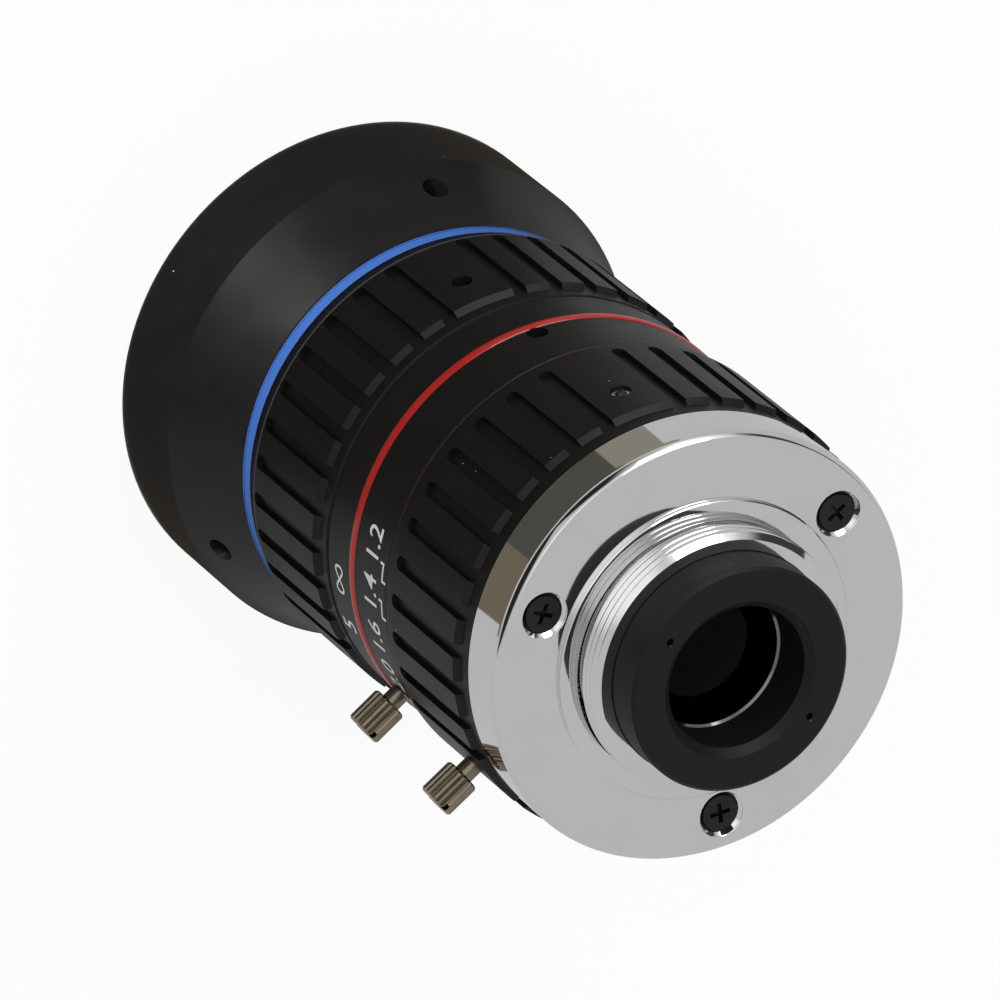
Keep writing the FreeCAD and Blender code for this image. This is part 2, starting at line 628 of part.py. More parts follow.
def lens(label, radius, edge, front, rear, place):
    """Ground glass: a cylinder between two edge planes, with a cap or a hollow at each end.
    front and rear are (curve, clear radius, convex). place is the front edge plane."""
    front_curve, front_clear, front_convex = front
    rear_curve, rear_clear, rear_convex = rear
    rim = doc.addObject("Part::Cylinder", label + "_rim")
    rim.setExpression("Radius", radius.text)
    rim.setExpression("Height", edge.text)
    shape = rim
    for side, curve, clear, convex, direction in [
        ("front", front_curve, front_clear, front_convex, -1),
        ("rear", rear_curve, rear_clear, rear_convex, 1),
    ]:
        face = Size.of(0) if direction < 0 else edge
        reach = root(curve * curve - clear * clear)
        inward = reach if convex else -reach
        centre = face + inward if direction < 0 else face - inward
        ball = doc.addObject("Part::Sphere", f"{label}_{side}_ball")
        ball.setExpression("Radius", curve.text)
        ball.setExpression("Placement.Base.z", centre.text)
        if convex:
            stub = doc.addObject("Part::Cylinder", f"{label}_{side}_stub")
            stub.setExpression("Radius", clear.text)
            depth = sagitta(curve, clear) + edge / 2
            stub.setExpression("Height", depth.text)
            stub_start = (face - sagitta(curve, clear)) if direction < 0 else (face - edge / 2)
            stub.setExpression("Placement.Base.z", stub_start.text)
            cap = doc.addObject("Part::Common", f"{label}_{side}_cap")
            cap.Base = stub
            cap.Tool = ball
            joined = doc.addObject("Part::Fuse", f"{label}_{side}")
            joined.Base = shape
            joined.Tool = cap
        else:
            joined = doc.addObject("Part::Cut", f"{label}_{side}")
            joined.Base = shape
            joined.Tool = ball
        shape = joined
    shape.Label = label
    return finish(shape, place)


def spun(points):
    """A solid revolved about Z from corners (radius, height) in numbers."""
    corners = [Vector(radius, 0, height) for radius, height in points]
    face = Part.Face(Part.makePolygon(corners + corners[:1]))
    return face.revolve(Vector(), Vector(0, 0, 1), 360)


def about_z(shape, degrees):
    return shape.rotated(Vector(), Vector(0, 0, 1), degrees)


def made_radial(shape, height, degrees):
    """Turn a piece that stands along +Z so that it points outwards at a height and an angle."""
    lying = shape.rotated(Vector(), Vector(0, 1, 0), 90)
    return about_z(lying.translated(Vector(0, 0, height)), degrees)


def hex_prism(flat, start, length):
    corner = flat / math.cos(math.pi / 6)
    corners = [
        Vector(corner * math.cos(math.radians(60 * k)), corner * math.sin(math.radians(60 * k)), start)
        for k in range(7)
    ]
    return Part.Face(Part.makePolygon(corners)).extrude(Vector(0, 0, length))


def set_screw(radius, inner, outer, socket_size, socket_depth, chamfer):
    """A headless screw along +Z from one distance from the axis to another, socket outwards."""
    body = spun([
        (0, inner),
        (radius - chamfer, inner),
        (radius, inner + chamfer),
        (radius, outer - chamfer),
        (radius - chamfer, outer),
        (0, outer),
    ])
    return body.cut(hex_prism(socket_size, outer - socket_depth, socket_depth + 1))


# The fixed barrel: a band that shows, a neck under the aperture ring, and stepped bores.
def build_centre_barrel():
    bead_middle = s.band_length - s.bead_place
    bead_half = s.bead_width / 2
    bead_curve = (bead_half * bead_half + s.bead_height * s.bead_height) / (s.bead_height * 2)
    spigot_seat = barrel_length - s.spigot_recess_depth
    iris_seat = iris_front - barrel_front
    body = turned("centre_barrel", [
        (focus_bore, 0),
        (band_radius - s.edge_break, 0),
        (band_radius, s.edge_break),
        (band_radius, bead_middle - bead_half, bead_curve),
        (band_radius, bead_middle + bead_half),
        (band_radius, s.band_length - s.edge_break),
        (band_radius - s.edge_break, s.band_length),
        (neck_radius, s.band_length),
        (neck_radius, barrel_length),
        (spigot_radius + s.fit_gap, barrel_length),
        (spigot_radius + s.fit_gap, spigot_seat),
        (iris_bore, spigot_seat),
        (iris_bore, iris_seat),
        (barrel_bore, iris_seat),
        (barrel_bore, s.focus_bore_depth),
        (focus_bore, s.focus_bore_depth),
    ])
    lock_height = s.band_length - s.lock_place
    radial_holes(body, "lock_holes", lock_height, s.lock_hole_radius, s.ring_screw_angle, s.screw_rows)
    axial_holes(
        body, "mount_taps", mount_screw_circle, barrel_length, s.tap_depth,
        s.mount_screw_radius + s.fit_gap, s.mount_screw_count, rearwards=False,
    )
    axial_holes(
        body, "guide_seats", guide_circle, s.focus_bore_depth, s.guide_press_depth,
        s.guide_radius, s.guide_count,
    )
    cut_drive_slot(body)
    finish(body, barrel_front)


def cut_drive_slot(body):
    """A slot round part of the neck, for the screw that drives the iris."""
    before = body.Shape.Volume
    height = drive_height - barrel_front
    half = s.drive_slot_height / 2
    sketch = new_sketch(body, "drive_slot_sketch", "XZ_Plane")
    start = s.ring_screw_angle + s.aperture_turn + (s.aperture_close - s.aperture_open) / 2
    start = start - s.drive_slot_angle / 2
    sketch.AttachmentOffset = Placement(Vector(), Rotation(Vector(0, 1, 0), start.value))
    sketch.setExpression("AttachmentOffset.Rotation.Angle", start.text)
    draw_outline(sketch, [
        (barrel_bore, height - half),
        (band_radius, height - half),
        (band_radius, height + half),
        (barrel_bore, height + half),
    ])
    slot = body.newObject("PartDesign::Groove", "drive_slot")
    slot.Profile = sketch
    slot.ReferenceAxis = (sketch, ["V_Axis"])
    slot.Angle = s.drive_slot_angle.value
    slot.setExpression("Angle", s.drive_slot_angle.text)
    doc.recompute()
    check_removed(body, before, "drive slot")


# The chrome mount: flange, raised seat, thread and a spigot into the barrel.
def build_mount_flange():
    face = s.spigot_length + s.flange_thickness
    seat = face + s.seat_height
    end = seat + s.thread_length
    root_radius = s.thread_radius - s.relief_depth
    body = turned("mount_flange", [
        (mount_bore, 0),
        (spigot_radius, 0),
        (spigot_radius, s.spigot_length),
        (flange_radius, s.spigot_length),
        (flange_radius, face - s.flange_chamfer_depth),
        (flange_radius - s.flange_chamfer_width, face),
        (seat_radius, face),
        (seat_radius, seat - s.seat_chamfer),
        (seat_radius - s.seat_chamfer, seat),
        (s.thread_radius + s.running_gap, seat),
        (s.thread_radius + s.running_gap, seat - s.relief_step),
        (root_radius, seat - s.relief_step),
        (root_radius, seat + s.relief_length),
        (s.thread_radius, seat + s.relief_length),
        (s.thread_radius, end - s.thread_chamfer),
        (s.thread_radius - s.thread_chamfer, end),
        (mount_bore + s.mount_bore_chamfer, end),
        (mount_bore, end - s.mount_bore_chamfer),
    ])
    cut_countersinks(body, face)
    finish(body, flange_front - s.spigot_length)


def cut_countersinks(body, face):
    """Stepped holes for the mount screws: clearance, cone and a short straight mouth."""
    before = body.Shape.Volume
    sketch = new_sketch(body, "countersink_sketch", "XZ_Plane")
    mouth = face - s.mount_screw_sunk
    cone = mouth - (s.mount_sink_radius - s.mount_screw_clearance)
    draw_outline(sketch, [
        (mount_screw_circle, s.spigot_length),
        (mount_screw_circle + s.mount_screw_clearance, s.spigot_length),
        (mount_screw_circle + s.mount_screw_clearance, cone),
        (mount_screw_circle + s.mount_sink_radius, mouth),
        (mount_screw_circle + s.mount_sink_radius, face),
        (mount_screw_circle, face),
    ])
    groove = body.newObject("PartDesign::Groove", "countersink")
    groove.Profile = sketch
    groove.ReferenceAxis = (sketch, ["Edge6"])
    groove.Angle = 360
    doc.recompute()
    repeat(body, groove, "countersink_ring", s.mount_screw_count)
    check_removed(body, before, "countersinks")


def build_mount_screws():
    """Countersunk screws with a cross recess, standing along Z in the flange."""
    head = s.mount_screw_head.value
    thread = s.mount_screw_radius.value
    top = (flange_rear - s.mount_screw_sunk).value
    straight = s.mount_screw_head_edge.value
    tip = top - s.mount_screw_length.value
    screw = spun([
        (0, tip),
        (thread - s.edge_break.value, tip),
        (thread, tip + s.edge_break.value),
        (thread, top - straight - (head - thread)),
        (head, top - straight),
        (head, top),
        (0, top),
    ])
    arm = s.cross_width.value
    span = s.cross_length.value
    depth = s.cross_depth.value
    for across, along in [(arm, span), (span, arm)]:
        corner = Vector(-across / 2, -along / 2, top - depth)
        screw = screw.cut(Part.makeBox(across, along, depth + 1, corner))
    screw.translate(Vector(mount_screw_circle.value, 0, 0))
    step = 360 / count(s.mount_screw_count)
    shaped("mount_screws", Part.makeCompound([about_z(screw, k * step) for k in range(count(s.mount_screw_count))]))


# The two grip rings.
def build_aperture_ring():
    length = s.aperture_ring_length
    land_end = length - s.aperture_band_length
    outline = [
        (neck_radius + s.running_gap, 0),
        (rim_radius, 0),
        (land_radius, s.land_taper),
        (land_radius, land_end - s.land_chamfer),
        (rim_radius, land_end),
        (rim_radius, length),
        (neck_radius + s.running_gap, length),
    ]
    hole = drive_height - aperture_front
    body = grip_ring("aperture_ring", outline, s.aperture_groove_start, length, hole)
    finish(body, aperture_front, s.ring_screw_angle + s.groove_pitch + s.aperture_turn)


def build_focus_ring():
    length = s.focus_ring_length
    land_end = length - s.focus_band_length
    seat = sleeve_radius + s.fit_gap
    relief = seat + s.ring_relief_depth
    rear_seat = length - s.ring_rear_seat_length
    outline = [
        (seat, 0),
        (rim_radius, 0),
        (land_radius, s.land_taper),
        (land_radius, land_end - s.land_chamfer),
        (rim_radius, land_end),
        (rim_radius, length - s.edge_break),
        (rim_radius - s.edge_break * 2, length),
        (seat, length),
        (seat, rear_seat),
        (relief, rear_seat),
        (relief, s.ring_seat_length),
        (seat, s.ring_seat_length),
    ]
    body = grip_ring("focus_ring", outline, s.focus_groove_start, length, s.focus_hole_height)
    finish(body, focus_front, s.ring_screw_angle + s.groove_pitch + s.focus_turn)


# The focusing movement: sleeve with an inner thread, its retaining ring, and guide pins.
def build_focus_sleeve():
    front = focus_front + s.sleeve_setback
    rear = barrel_front + s.focus_bore_depth - s.sleeve_end_gap
    length = rear - front
    body = turned("focus_sleeve", [
        (sleeve_bore, 0),
        (sleeve_radius, 0),
        (sleeve_radius, length - s.sleeve_flange_length),
        (sleeve_flange_radius, length - s.sleeve_flange_length),
        (sleeve_flange_radius, length),
        (sleeve_bore, length),
    ])
    finish(body, front)


def build_focus_retaining_ring():
    body = turned("focus_retaining_ring", [
        (sleeve_radius + s.running_gap, 0),
        (focus_bore - s.fit_gap, 0),
        (focus_bore - s.fit_gap, s.retainer_length),
        (sleeve_radius + s.running_gap, s.retainer_length),
    ])
    spanner_slots(body, Size.of(0), s.spanner_slot_depth, s.spanner_slot, focus_bore, True)
    finish(body, barrel_front + s.retainer_setback)


def build_guide_pins():
    rear = (barrel_front + s.focus_bore_depth + s.guide_press_depth).value
    radius = (s.guide_radius - s.fit_gap / 2).value
    tip = s.edge_break.value
    front = rear - s.guide_length.value
    pin = spun([
        (0, front), (radius - tip, front), (radius, front + tip),
        (radius, rear - tip), (radius - tip, rear), (0, rear),
    ])
    pin.translate(Vector(guide_circle.value, 0, 0))
    total = count(s.guide_count)
    shaped("guide_pins", Part.makeCompound([about_z(pin, k * 360 / total) for k in range(total)]))


# The front group: barrel, bell and the three front lenses.
def build_front_barrel():
    length = front_barrel_length
    body = turned("front_barrel", [
        (second_bore, 0),
        (front_head_radius, 0),
        (front_head_radius, front_head_length),
        (front_tube_radius, front_head_length),
        (front_tube_radius, length),
        (third_bore, length),
        (third_bore, s.third_seat_place),
        (third_lip, s.third_seat_place),
        (third_lip, s.third_seat_place - s.lip_length),
        (middle_bore, s.third_seat_place - s.lip_length),
        (middle_bore, s.second_bore_depth + s.lip_length),
        (second_lip, s.second_bore_depth + s.lip_length),
        (second_lip, s.second_bore_depth),
        (second_bore, s.second_bore_depth),
    ])
    axial_holes(
        body, "guide_bores", guide_circle, length, s.guide_hole_depth,
        s.guide_radius + s.running_gap, s.guide_count, rearwards=False,
    )
    finish(body, front_barrel_front)


def build_front_bell():
    length = s.bell_length
    cone_end = length - s.bell_rear_length
    stripe_middle = length - s.stripe_place
    half = s.stripe_width / 2
    hood_rear = s.filter_depth + s.hood_length
    lip_rear = s.front_seat_place + s.front_lip_length
    floor_radius = bell_rear_radius - s.stripe_depth
    body = turned("front_bell", [
        (filter_bore, 0),
        (bell_radius - s.edge_break, 0),
        (bell_radius, s.edge_break),
        (bell_radius, s.bell_rim_length),
        (bell_rear_radius, cone_end),
        (bell_rear_radius, stripe_middle - half),
        (floor_radius, stripe_middle - half),
        (floor_radius, stripe_middle + half),
        (bell_rear_radius, stripe_middle + half),
        (bell_rear_radius, length),
        (front_head_radius + s.fit_gap, length),
        (front_head_radius + s.fit_gap, lip_rear),
        (front_lip, lip_rear),
        (front_lip, s.front_seat_place),
        (front_lens_bore, s.front_seat_place),
        (front_lens_bore, hood_rear),
        (hood_rear_radius, hood_rear),
        (hood_front_radius, s.filter_depth),
        (filter_bore, s.filter_depth),
    ])
    radial_holes(
        body, "bell_taps", s.bell_screw_height, s.bell_screw_hole, s.bell_screw_angle, s.screw_rows
    )
    finish(body, bell_front)


def lens_ring(label, bore, rear_face, faces_front):
    """A threaded ring with a spanner slot; rear_face is the face towards the glass."""
    body = turned(label, [
        (bore - s.lens_ring_width, 0),
        (bore - s.fit_gap, 0),
        (bore - s.fit_gap, s.lens_ring_length),
        (bore - s.lens_ring_width, s.lens_ring_length),
    ])
    if faces_front:
        spanner_slots(body, Size.of(0), s.spanner_slot_depth, s.spanner_slot, bore, True)
        finish(body, rear_face - s.lens_ring_length)
    else:
        spanner_slots(body, s.lens_ring_length, s.spanner_slot_depth, s.spanner_slot, bore, False)
        finish(body, rear_face)


def build_front_lenses():
    seat = bell_front + s.front_seat_place
    front_edge = seat - s.front_lens_edge
    lens(
        "front_lens", front_lens_radius, s.front_lens_edge,
        (s.front_lens_front_curve, front_lens_radius, True),
        (s.front_lens_rear_curve, front_lens_rear_clear, False),
        front_edge,
    )
    inner = front_lens_bore - s.lens_ring_width
    rise = sagitta(s.front_lens_front_curve, front_lens_radius) - sagitta(s.front_lens_front_curve, inner)
    lens_ring("front_lens_ring", front_lens_bore, front_edge - rise - s.lens_ring_gap, True)

    seat = front_barrel_front + s.second_bore_depth
    front_edge = seat - s.second_lens_edge
    lens(
        "second_lens", second_lens_radius, s.second_lens_edge,
        (s.second_lens_front_curve, second_lens_radius, True),
        (s.second_lens_rear_curve, second_lens_rear_clear, False),
        front_edge,
    )
    inner = second_bore - s.lens_ring_width
    rise = sagitta(s.second_lens_front_curve, second_lens_radius) - sagitta(s.second_lens_front_curve, inner)
    lens_ring("second_lens_ring", second_bore, front_edge - rise - s.lens_ring_gap, True)

    seat = front_barrel_front + s.third_seat_place
    lens(
        "third_lens", third_lens_radius, s.third_lens_edge,
        (s.third_lens_front_curve, third_lens_front_clear, True),
        (s.third_lens_rear_curve, third_lens_radius, True),
        seat,
    )
    inner = third_bore - s.lens_ring_width
    rise = sagitta(s.third_lens_rear_curve, third_lens_radius) - sagitta(s.third_lens_rear_curve, inner)
    lens_ring("third_lens_ring", third_bore, seat + s.third_lens_edge + rise + s.lens_ring_gap, False)


# The rear cell: a black tube through the mount, with the rear lens and the cemented pair.
def build_rear_cell():
    length = cell_length
    body = turned("rear_cell", [
        (cell_bore, 0),
        (cell_radius, 0),
        (cell_radius, length - s.cell_chamfer),
        (cell_radius - s.cell_chamfer, length),
        (cell_mouth + s.cell_mouth_bevel, length),
        (cell_mouth, length - s.cell_mouth_bevel),
        (cell_mouth, length - s.cell_mouth_length),
        (cell_bore, length - s.cell_mouth_length),
    ])
    axial_holes(
        body, "spanner_holes", cell_hole_circle, length, s.cell_hole_depth,
        s.cell_hole_radius, Size.of(2), rearwards=False,
    )
    finish(body, cell_front, s.cell_hole_angle)


def build_rear_lenses():
    lens(
        "rear_lens", rear_lens_radius, s.rear_lens_edge,
        (s.rear_lens_front_curve, cell_mouth, True),
        (s.rear_lens_rear_curve, rear_lens_rear_clear, True),
        rear_lens_front,
    )
    body = turned("rear_spacer", [
        (cell_bore - s.spacer_width, 0),
        (cell_bore - s.fit_gap, 0),
        (cell_bore - s.fit_gap, s.spacer_length),
        (cell_bore - s.spacer_width, s.spacer_length),
    ])
    finish(body, spacer_front)
    lens(
        "pair_convex_lens", rear_lens_radius, s.pair_rear_edge,
        (s.pair_inner_curve, pair_front_clear, True),
        (s.pair_rear_curve, pair_rear_clear, True),
        pair_middle,
    )
    lens(
        "pair_hollow_lens", rear_lens_radius, pair_front_edge,
        (s.pair_front_curve, pair_front_clear, False),
        (s.pair_inner_curve + s.cement_gap, pair_front_clear, False),
        pair_front,
    )
    lens_ring("rear_lens_ring", cell_bore, pair_front - s.lens_ring_gap, True)


# The iris: cover, six blades, pivot plate, cam ring and a ring that keeps them in.
def build_iris_plates():
    outer = iris_bore - s.fit_gap
    body = turned("iris_cover", [
        (iris_clear, 0),
        (outer, 0),
        (outer, s.iris_cover_thickness + s.blade_room),
        (outer - s.fit_gap * 20, s.iris_cover_thickness + s.blade_room),
        (outer - s.fit_gap * 20, s.iris_cover_thickness),
        (iris_clear, s.iris_cover_thickness),
    ])
    finish(body, iris_front)
    body = turned("iris_pivot_plate", [
        (pivot_plate_bore, 0),
        (outer, 0),
        (outer, s.pivot_plate_thickness),
        (pivot_plate_bore, s.pivot_plate_thickness),
    ])
    axial_holes(
        body, "pivot_holes", blade_pivot_circle, Size.of(0), s.pivot_plate_thickness,
        s.blade_pin_radius + s.running_gap, s.blade_count,
    )
    finish(body, pivot_plate_front)
    body = turned("iris_retaining_ring", [
        (iris_ring_bore, 0),
        (outer, 0),
        (outer, s.iris_ring_length),
        (iris_ring_bore, s.iris_ring_length),
    ])
    spanner_slots(body, s.iris_ring_length, s.iris_ring_length / 2, s.spanner_slot, iris_bore, False)
    finish(body, iris_ring_front)


def blade_ratio():
    """Turn of a blade for each degree of the aperture ring."""
    return (s.blade_swing / (s.aperture_open + s.aperture_close)).value


def drive_pin_at(ring_turn):
    """Drive pin of the first blade, seen from the cam ring, with the aperture ring turned."""
    blade_turn = blade_ratio() * (ring_turn + s.aperture_open.value)
    angle = math.radians(s.blade_arm_angle.value + blade_turn)
    pin = Vector(
        blade_pivot_circle.value + s.blade_arm.value * math.cos(angle),
        s.blade_arm.value * math.sin(angle),
        0,
    )
    return Rotation(Vector(0, 0, 1), -ring_turn).multVec(pin)


def cam_slot(width, height, samples=9):
    """A slot along the drive pin's path, with round ends."""
    start = -s.aperture_open.value
    stop = s.aperture_close.value
    turns = [start + (stop - start) * k / (samples - 1) for k in range(samples)]
    step = (stop - start) / 1000
    left = []
    right = []
    for turn in turns:
        middle = drive_pin_at(turn)
        along = drive_pin_at(turn + step) - drive_pin_at(turn - step)
        side = Vector(-along.y, along.x, 0).normalize() * (width / 2)
        left.append(middle + side)
        right.append(middle - side)
    edges = [smooth_edge(left), end_arc(left[-1], right[-1], drive_pin_at(stop), 1)]
    edges += [smooth_edge(right[::-1]), end_arc(right[0], left[0], drive_pin_at(start), -1)]
    return Part.Face(Part.Wire(Part.__sortEdges__(edges))).extrude(Vector(0, 0, height))


def smooth_edge(points):
    curve = Part.BSplineCurve()
    curve.interpolate(points)
    return curve.toShape()


def end_arc(first, last, middle, sense):
    """Half a circle past the end of the path."""
    start = s.aperture_close.value if sense > 0 else -s.aperture_open.value
    step = (s.aperture_close + s.aperture_open).value / 1000
    ahead = drive_pin_at(start + sense * step) - middle
    outward = ahead.normalize() * ((first - last).Length / 2)
    return Part.Arc(first, middle + outward, last).toShape()


def build_cam_ring():
    """The ring that swings the blades, with a curved slot for each drive pin."""
    hub = cam_hub_radius.value
    web = s.cam_hub_thickness.value
    rim_start = (cam_rim_front - cam_front).value
    rim_end = rim_start + s.cam_rim_length.value
    outer = (iris_bore - s.running_gap).value
    ring = spun([
        (iris_clear.value, 0),
        (hub, 0),
        (hub, rim_start),
        (outer, rim_start),
        (outer, rim_end),
        (cam_rim_bore.value, rim_end),
        (cam_rim_bore.value, web),
        (iris_clear.value, web),
    ])
    width = 2 * (s.blade_pin_radius + s.running_gap).value
    slot = cam_slot(width, web + 2).translated(Vector(0, 0, -1))
    total = count(s.blade_count)
    ring = ring.cut([about_z(slot, k * 360 / total) for k in range(total)])
    height = (drive_height - cam_front).value
    inner = outer - s.drive_tip_depth.value - s.running_gap.value
    hole = Part.makeCylinder(s.drive_hole_radius.value, outer, Vector(0, 0, inner))
    ring = ring.cut(made_radial(hole, height, (s.ring_screw_angle + s.aperture_turn).value))
    item = shaped("iris_cam_ring", ring)
    item.Placement = Placement(Vector(0, 0, cam_front.value), Rotation())


def build_blades():
    """Thin crescents that overlap, each with a pivot pin and a drive pin riveted in."""
    pivot = blade_pivot_circle.value
    inner = iris_clear.value
    outer = inner + s.blade_width.value
    thick = s.blade_thickness.value
    span = s.blade_angle.value
    tab = s.blade_tab_radius.value
    pin = s.blade_pin_radius.value
    sector = Part.makeCylinder(outer, thick, Vector(), Vector(0, 0, 1), span)
    sector = sector.cut(Part.makeCylinder(inner, thick))
    neck_width = 2 * tab
    neck = Part.makeBox(pivot - inner - tab, neck_width, thick, Vector(inner + tab, -tab, 0))
    round_tab = Part.makeCylinder(tab, thick, Vector(pivot, 0, 0))
    root_round = Part.makeCylinder(tab, thick, Vector(inner + tab, 0, 0))
    leaf = sector.fuse([neck, round_tab, root_round]).removeSplitter()
    slope = math.radians(s.blade_slope_angle.value)
    downhill = Vector(math.cos(slope), math.sin(slope), 0)
    tilt = s.blade_tilt_angle.value
    leaf.rotate(Vector(pivot, 0, 0), Vector(0, 0, 1).cross(downhill), tilt)
    plate = (s.blade_room - s.cam_gap).value
    leaf.translate(Vector(0, 0, plate - thick))
    arm_angle = math.radians(s.blade_arm_angle.value)
    drive = Vector(
        pivot + s.blade_arm.value * math.cos(arm_angle), s.blade_arm.value * math.sin(arm_angle), 0
    )
    drop = math.tan(math.radians(tilt)) * (drive - Vector(pivot, 0, 0)).dot(downhill)
    pivot_start = Vector(pivot, 0, plate - thick)
    pivot_pin = Part.makeCylinder(pin, thick + (s.cam_gap + s.pivot_plate_thickness).value, pivot_start)
    drive_start = drive + Vector(0, 0, plate - thick - drop)
    drive_pin = Part.makeCylinder(
        pin, thick + drop + (s.cam_gap + s.cam_hub_thickness).value, drive_start
    )
    blade = leaf.fuse([pivot_pin, drive_pin]).removeSplitter()
    rest_turn = Rotation(Vector(0, 0, 1), blade_ratio() * s.aperture_open.value)
    swung = Placement(Vector(), rest_turn, Vector(pivot, 0, 0))
    base = (iris_front + s.iris_cover_thickness).value
    total = count(s.blade_count)
    for k in range(total):
        item = shaped(f"iris_blade_{k + 1}", blade)
        seat = Placement(Vector(0, 0, base), Rotation(Vector(0, 0, 1), k * 360 / total))
        item.Placement = seat.multiply(swung)


# Screws that stand out from the axis.
def build_set_screws():
    chamfer = s.edge_break.value / 2
    socket = s.hex_size.value
    depth = s.hex_depth.value
    bell_height = (bell_front + s.bell_screw_height).value
    inner = (front_head_radius + s.running_gap).value
    screw = set_screw(
        (s.bell_screw_hole - s.fit_gap).value, inner, inner + s.bell_screw_length.value,
        socket, depth, chamfer,
    )
    start = s.bell_screw_angle.value
    shaped("bell_set_screws", Part.makeCompound(
        [made_radial(screw, bell_height, start + row_step * k) for k in range(count(s.screw_rows))]
    ))
    ring_height = (focus_front + s.focus_hole_height).value
    inner = (sleeve_radius + s.running_gap).value
    screw = set_screw(
        (s.lock_hole_radius - s.fit_gap).value, inner, inner + s.ring_screw_length.value,
        socket, depth, chamfer,
    )
    start = (s.ring_screw_angle + s.focus_turn).value
    shaped("focus_set_screws", Part.makeCompound(
        [made_radial(screw, ring_height, start + row_step * k) for k in range(count(s.screw_rows))]
    ))


def build_drive_screw():
    """The screw in the aperture ring whose plain tip turns the cam ring."""
    radius = (s.lock_hole_radius - s.fit_gap).value
    outer = (land_radius - s.drive_screw_sunk).value
    shoulder = (iris_bore + s.running_gap).value
    tip = (iris_bore - s.running_gap - s.drive_tip_depth).value
    chamfer = s.edge_break.value / 2
    screw = spun([
        (0, tip),
        (s.drive_tip_radius.value - chamfer, tip),
        (s.drive_tip_radius.value, tip + chamfer),
        (s.drive_tip_radius.value, shoulder),
        (radius, shoulder),
        (radius, outer - chamfer),
        (radius - chamfer, outer),
        (0, outer),
    ])
    screw = screw.cut(hex_prism(s.hex_size.value, outer - s.hex_depth.value, s.hex_depth.value + 1))
    height = drive_height.value
    shaped("iris_drive_screw", made_radial(screw, height, (s.ring_screw_angle + s.aperture_turn).value))


def thumb_screw(tip, surface):
    """A knurled lock screw along +Z: plain tip, thread, neck, knurled head with a slot."""
    shank = s.thumb_shank_radius.value
    head = s.thumb_head_radius.value
    start = surface + s.thumb_stand.value
    end = start + s.thumb_head_length.value
    edge = s.edge_break.value
    body = spun([
        (0, tip),
        (shank - edge, tip),
        (shank, tip + edge),
        (shank, start),
        (head - edge, start),
        (head, start + edge),
        (head, end - edge),
        (head - edge, end),
        (0, end),
    ])
    total = count(s.thumb_knurl_count)
    depth = s.thumb_knurl_depth.value
    half = head * math.pi / total * 0.62
    valley = Part.Face(Part.makePolygon([
        Vector(head - depth, 0, start - edge),
        Vector(head + depth, half * 2, start - edge),
        Vector(head + depth, -half * 2, start - edge),
        Vector(head - depth, 0, start - edge),
    ])).extrude(Vector(0, 0, end - start + 2 * edge))
    body = body.cut([about_z(valley, k * 360 / total) for k in range(total)])
    width = s.thumb_slot_width.value
    slot_depth = s.thumb_slot_depth.value
    slot = Part.makeBox(2 * head, width, slot_depth + 1, Vector(-head, -width / 2, end - slot_depth))
    return body.cut(slot)


def build_lock_screws():
    opposite = row_step
    height = (band_rear - s.lock_place).value
    screw = thumb_screw(
        (sleeve_flange_radius + s.thumb_tip_gap).value, band_radius.value
    )
    shaped("focus_lock_screw", made_radial(screw, height, s.ring_screw_angle.value + opposite))
    height = drive_height.value
    screw = thumb_screw((neck_radius + s.thumb_tip_gap).value, land_radius.value)
    angle = (s.ring_screw_angle + s.aperture_turn).value + opposite
    shaped("iris_lock_screw", made_radial(screw, height, angle))


build_centre_barrel()
build_mount_flange()
build_mount_screws()
build_aperture_ring()
build_focus_ring()
build_focus_sleeve()
build_focus_retaining_ring()
build_guide_pins()
build_front_barrel()
build_front_bell()
build_front_lenses()
build_rear_cell()
build_rear_lenses()
build_iris_plates()
build_cam_ring()
build_blades()
build_set_screws()
build_drive_screw()
build_lock_screws()
doc.recompute()

for item in doc.Objects:
    if {"Invalid", "Error"} & set(item.State):
        raise RuntimeError(f"{item.Name} failed: {item.State}")
for item in sub_parts:
    if item.Shape.isNull() or not item.Shape.isValid():
        raise RuntimeError(f"{item.Label} has no sound shape")

os.makedirs("parts", exist_ok=True)
for item in sub_parts:
    item.Shape.exportStep(f"parts/{item.Label}.step")
print(f"{len(sub_parts)} sub-parts written")
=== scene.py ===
import json
import math

import bpy
import numpy as np
from mathutils import Matrix, Vector

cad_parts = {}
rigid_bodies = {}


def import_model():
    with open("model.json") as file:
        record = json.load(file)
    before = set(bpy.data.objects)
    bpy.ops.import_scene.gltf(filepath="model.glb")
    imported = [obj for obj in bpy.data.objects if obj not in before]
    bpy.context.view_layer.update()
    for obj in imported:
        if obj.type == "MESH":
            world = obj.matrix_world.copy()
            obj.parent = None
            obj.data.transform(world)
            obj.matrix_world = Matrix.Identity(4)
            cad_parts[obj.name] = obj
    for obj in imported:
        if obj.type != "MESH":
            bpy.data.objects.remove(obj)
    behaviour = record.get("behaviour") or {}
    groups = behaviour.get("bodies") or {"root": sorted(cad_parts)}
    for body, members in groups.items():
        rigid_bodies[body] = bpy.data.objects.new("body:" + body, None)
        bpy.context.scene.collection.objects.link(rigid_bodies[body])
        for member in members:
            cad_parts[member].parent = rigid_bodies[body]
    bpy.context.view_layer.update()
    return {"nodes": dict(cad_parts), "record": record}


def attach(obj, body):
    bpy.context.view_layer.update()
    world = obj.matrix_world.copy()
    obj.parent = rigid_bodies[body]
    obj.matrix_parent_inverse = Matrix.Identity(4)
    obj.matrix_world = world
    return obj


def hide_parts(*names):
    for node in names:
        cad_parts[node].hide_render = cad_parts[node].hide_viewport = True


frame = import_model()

mm = 0.001
seamGap = 2e-6  # points nearer than this, in metres, are one
scene = bpy.context.scene
print("frame loaded,", len(frame["nodes"]), "nodes")


# Helpers for meshes

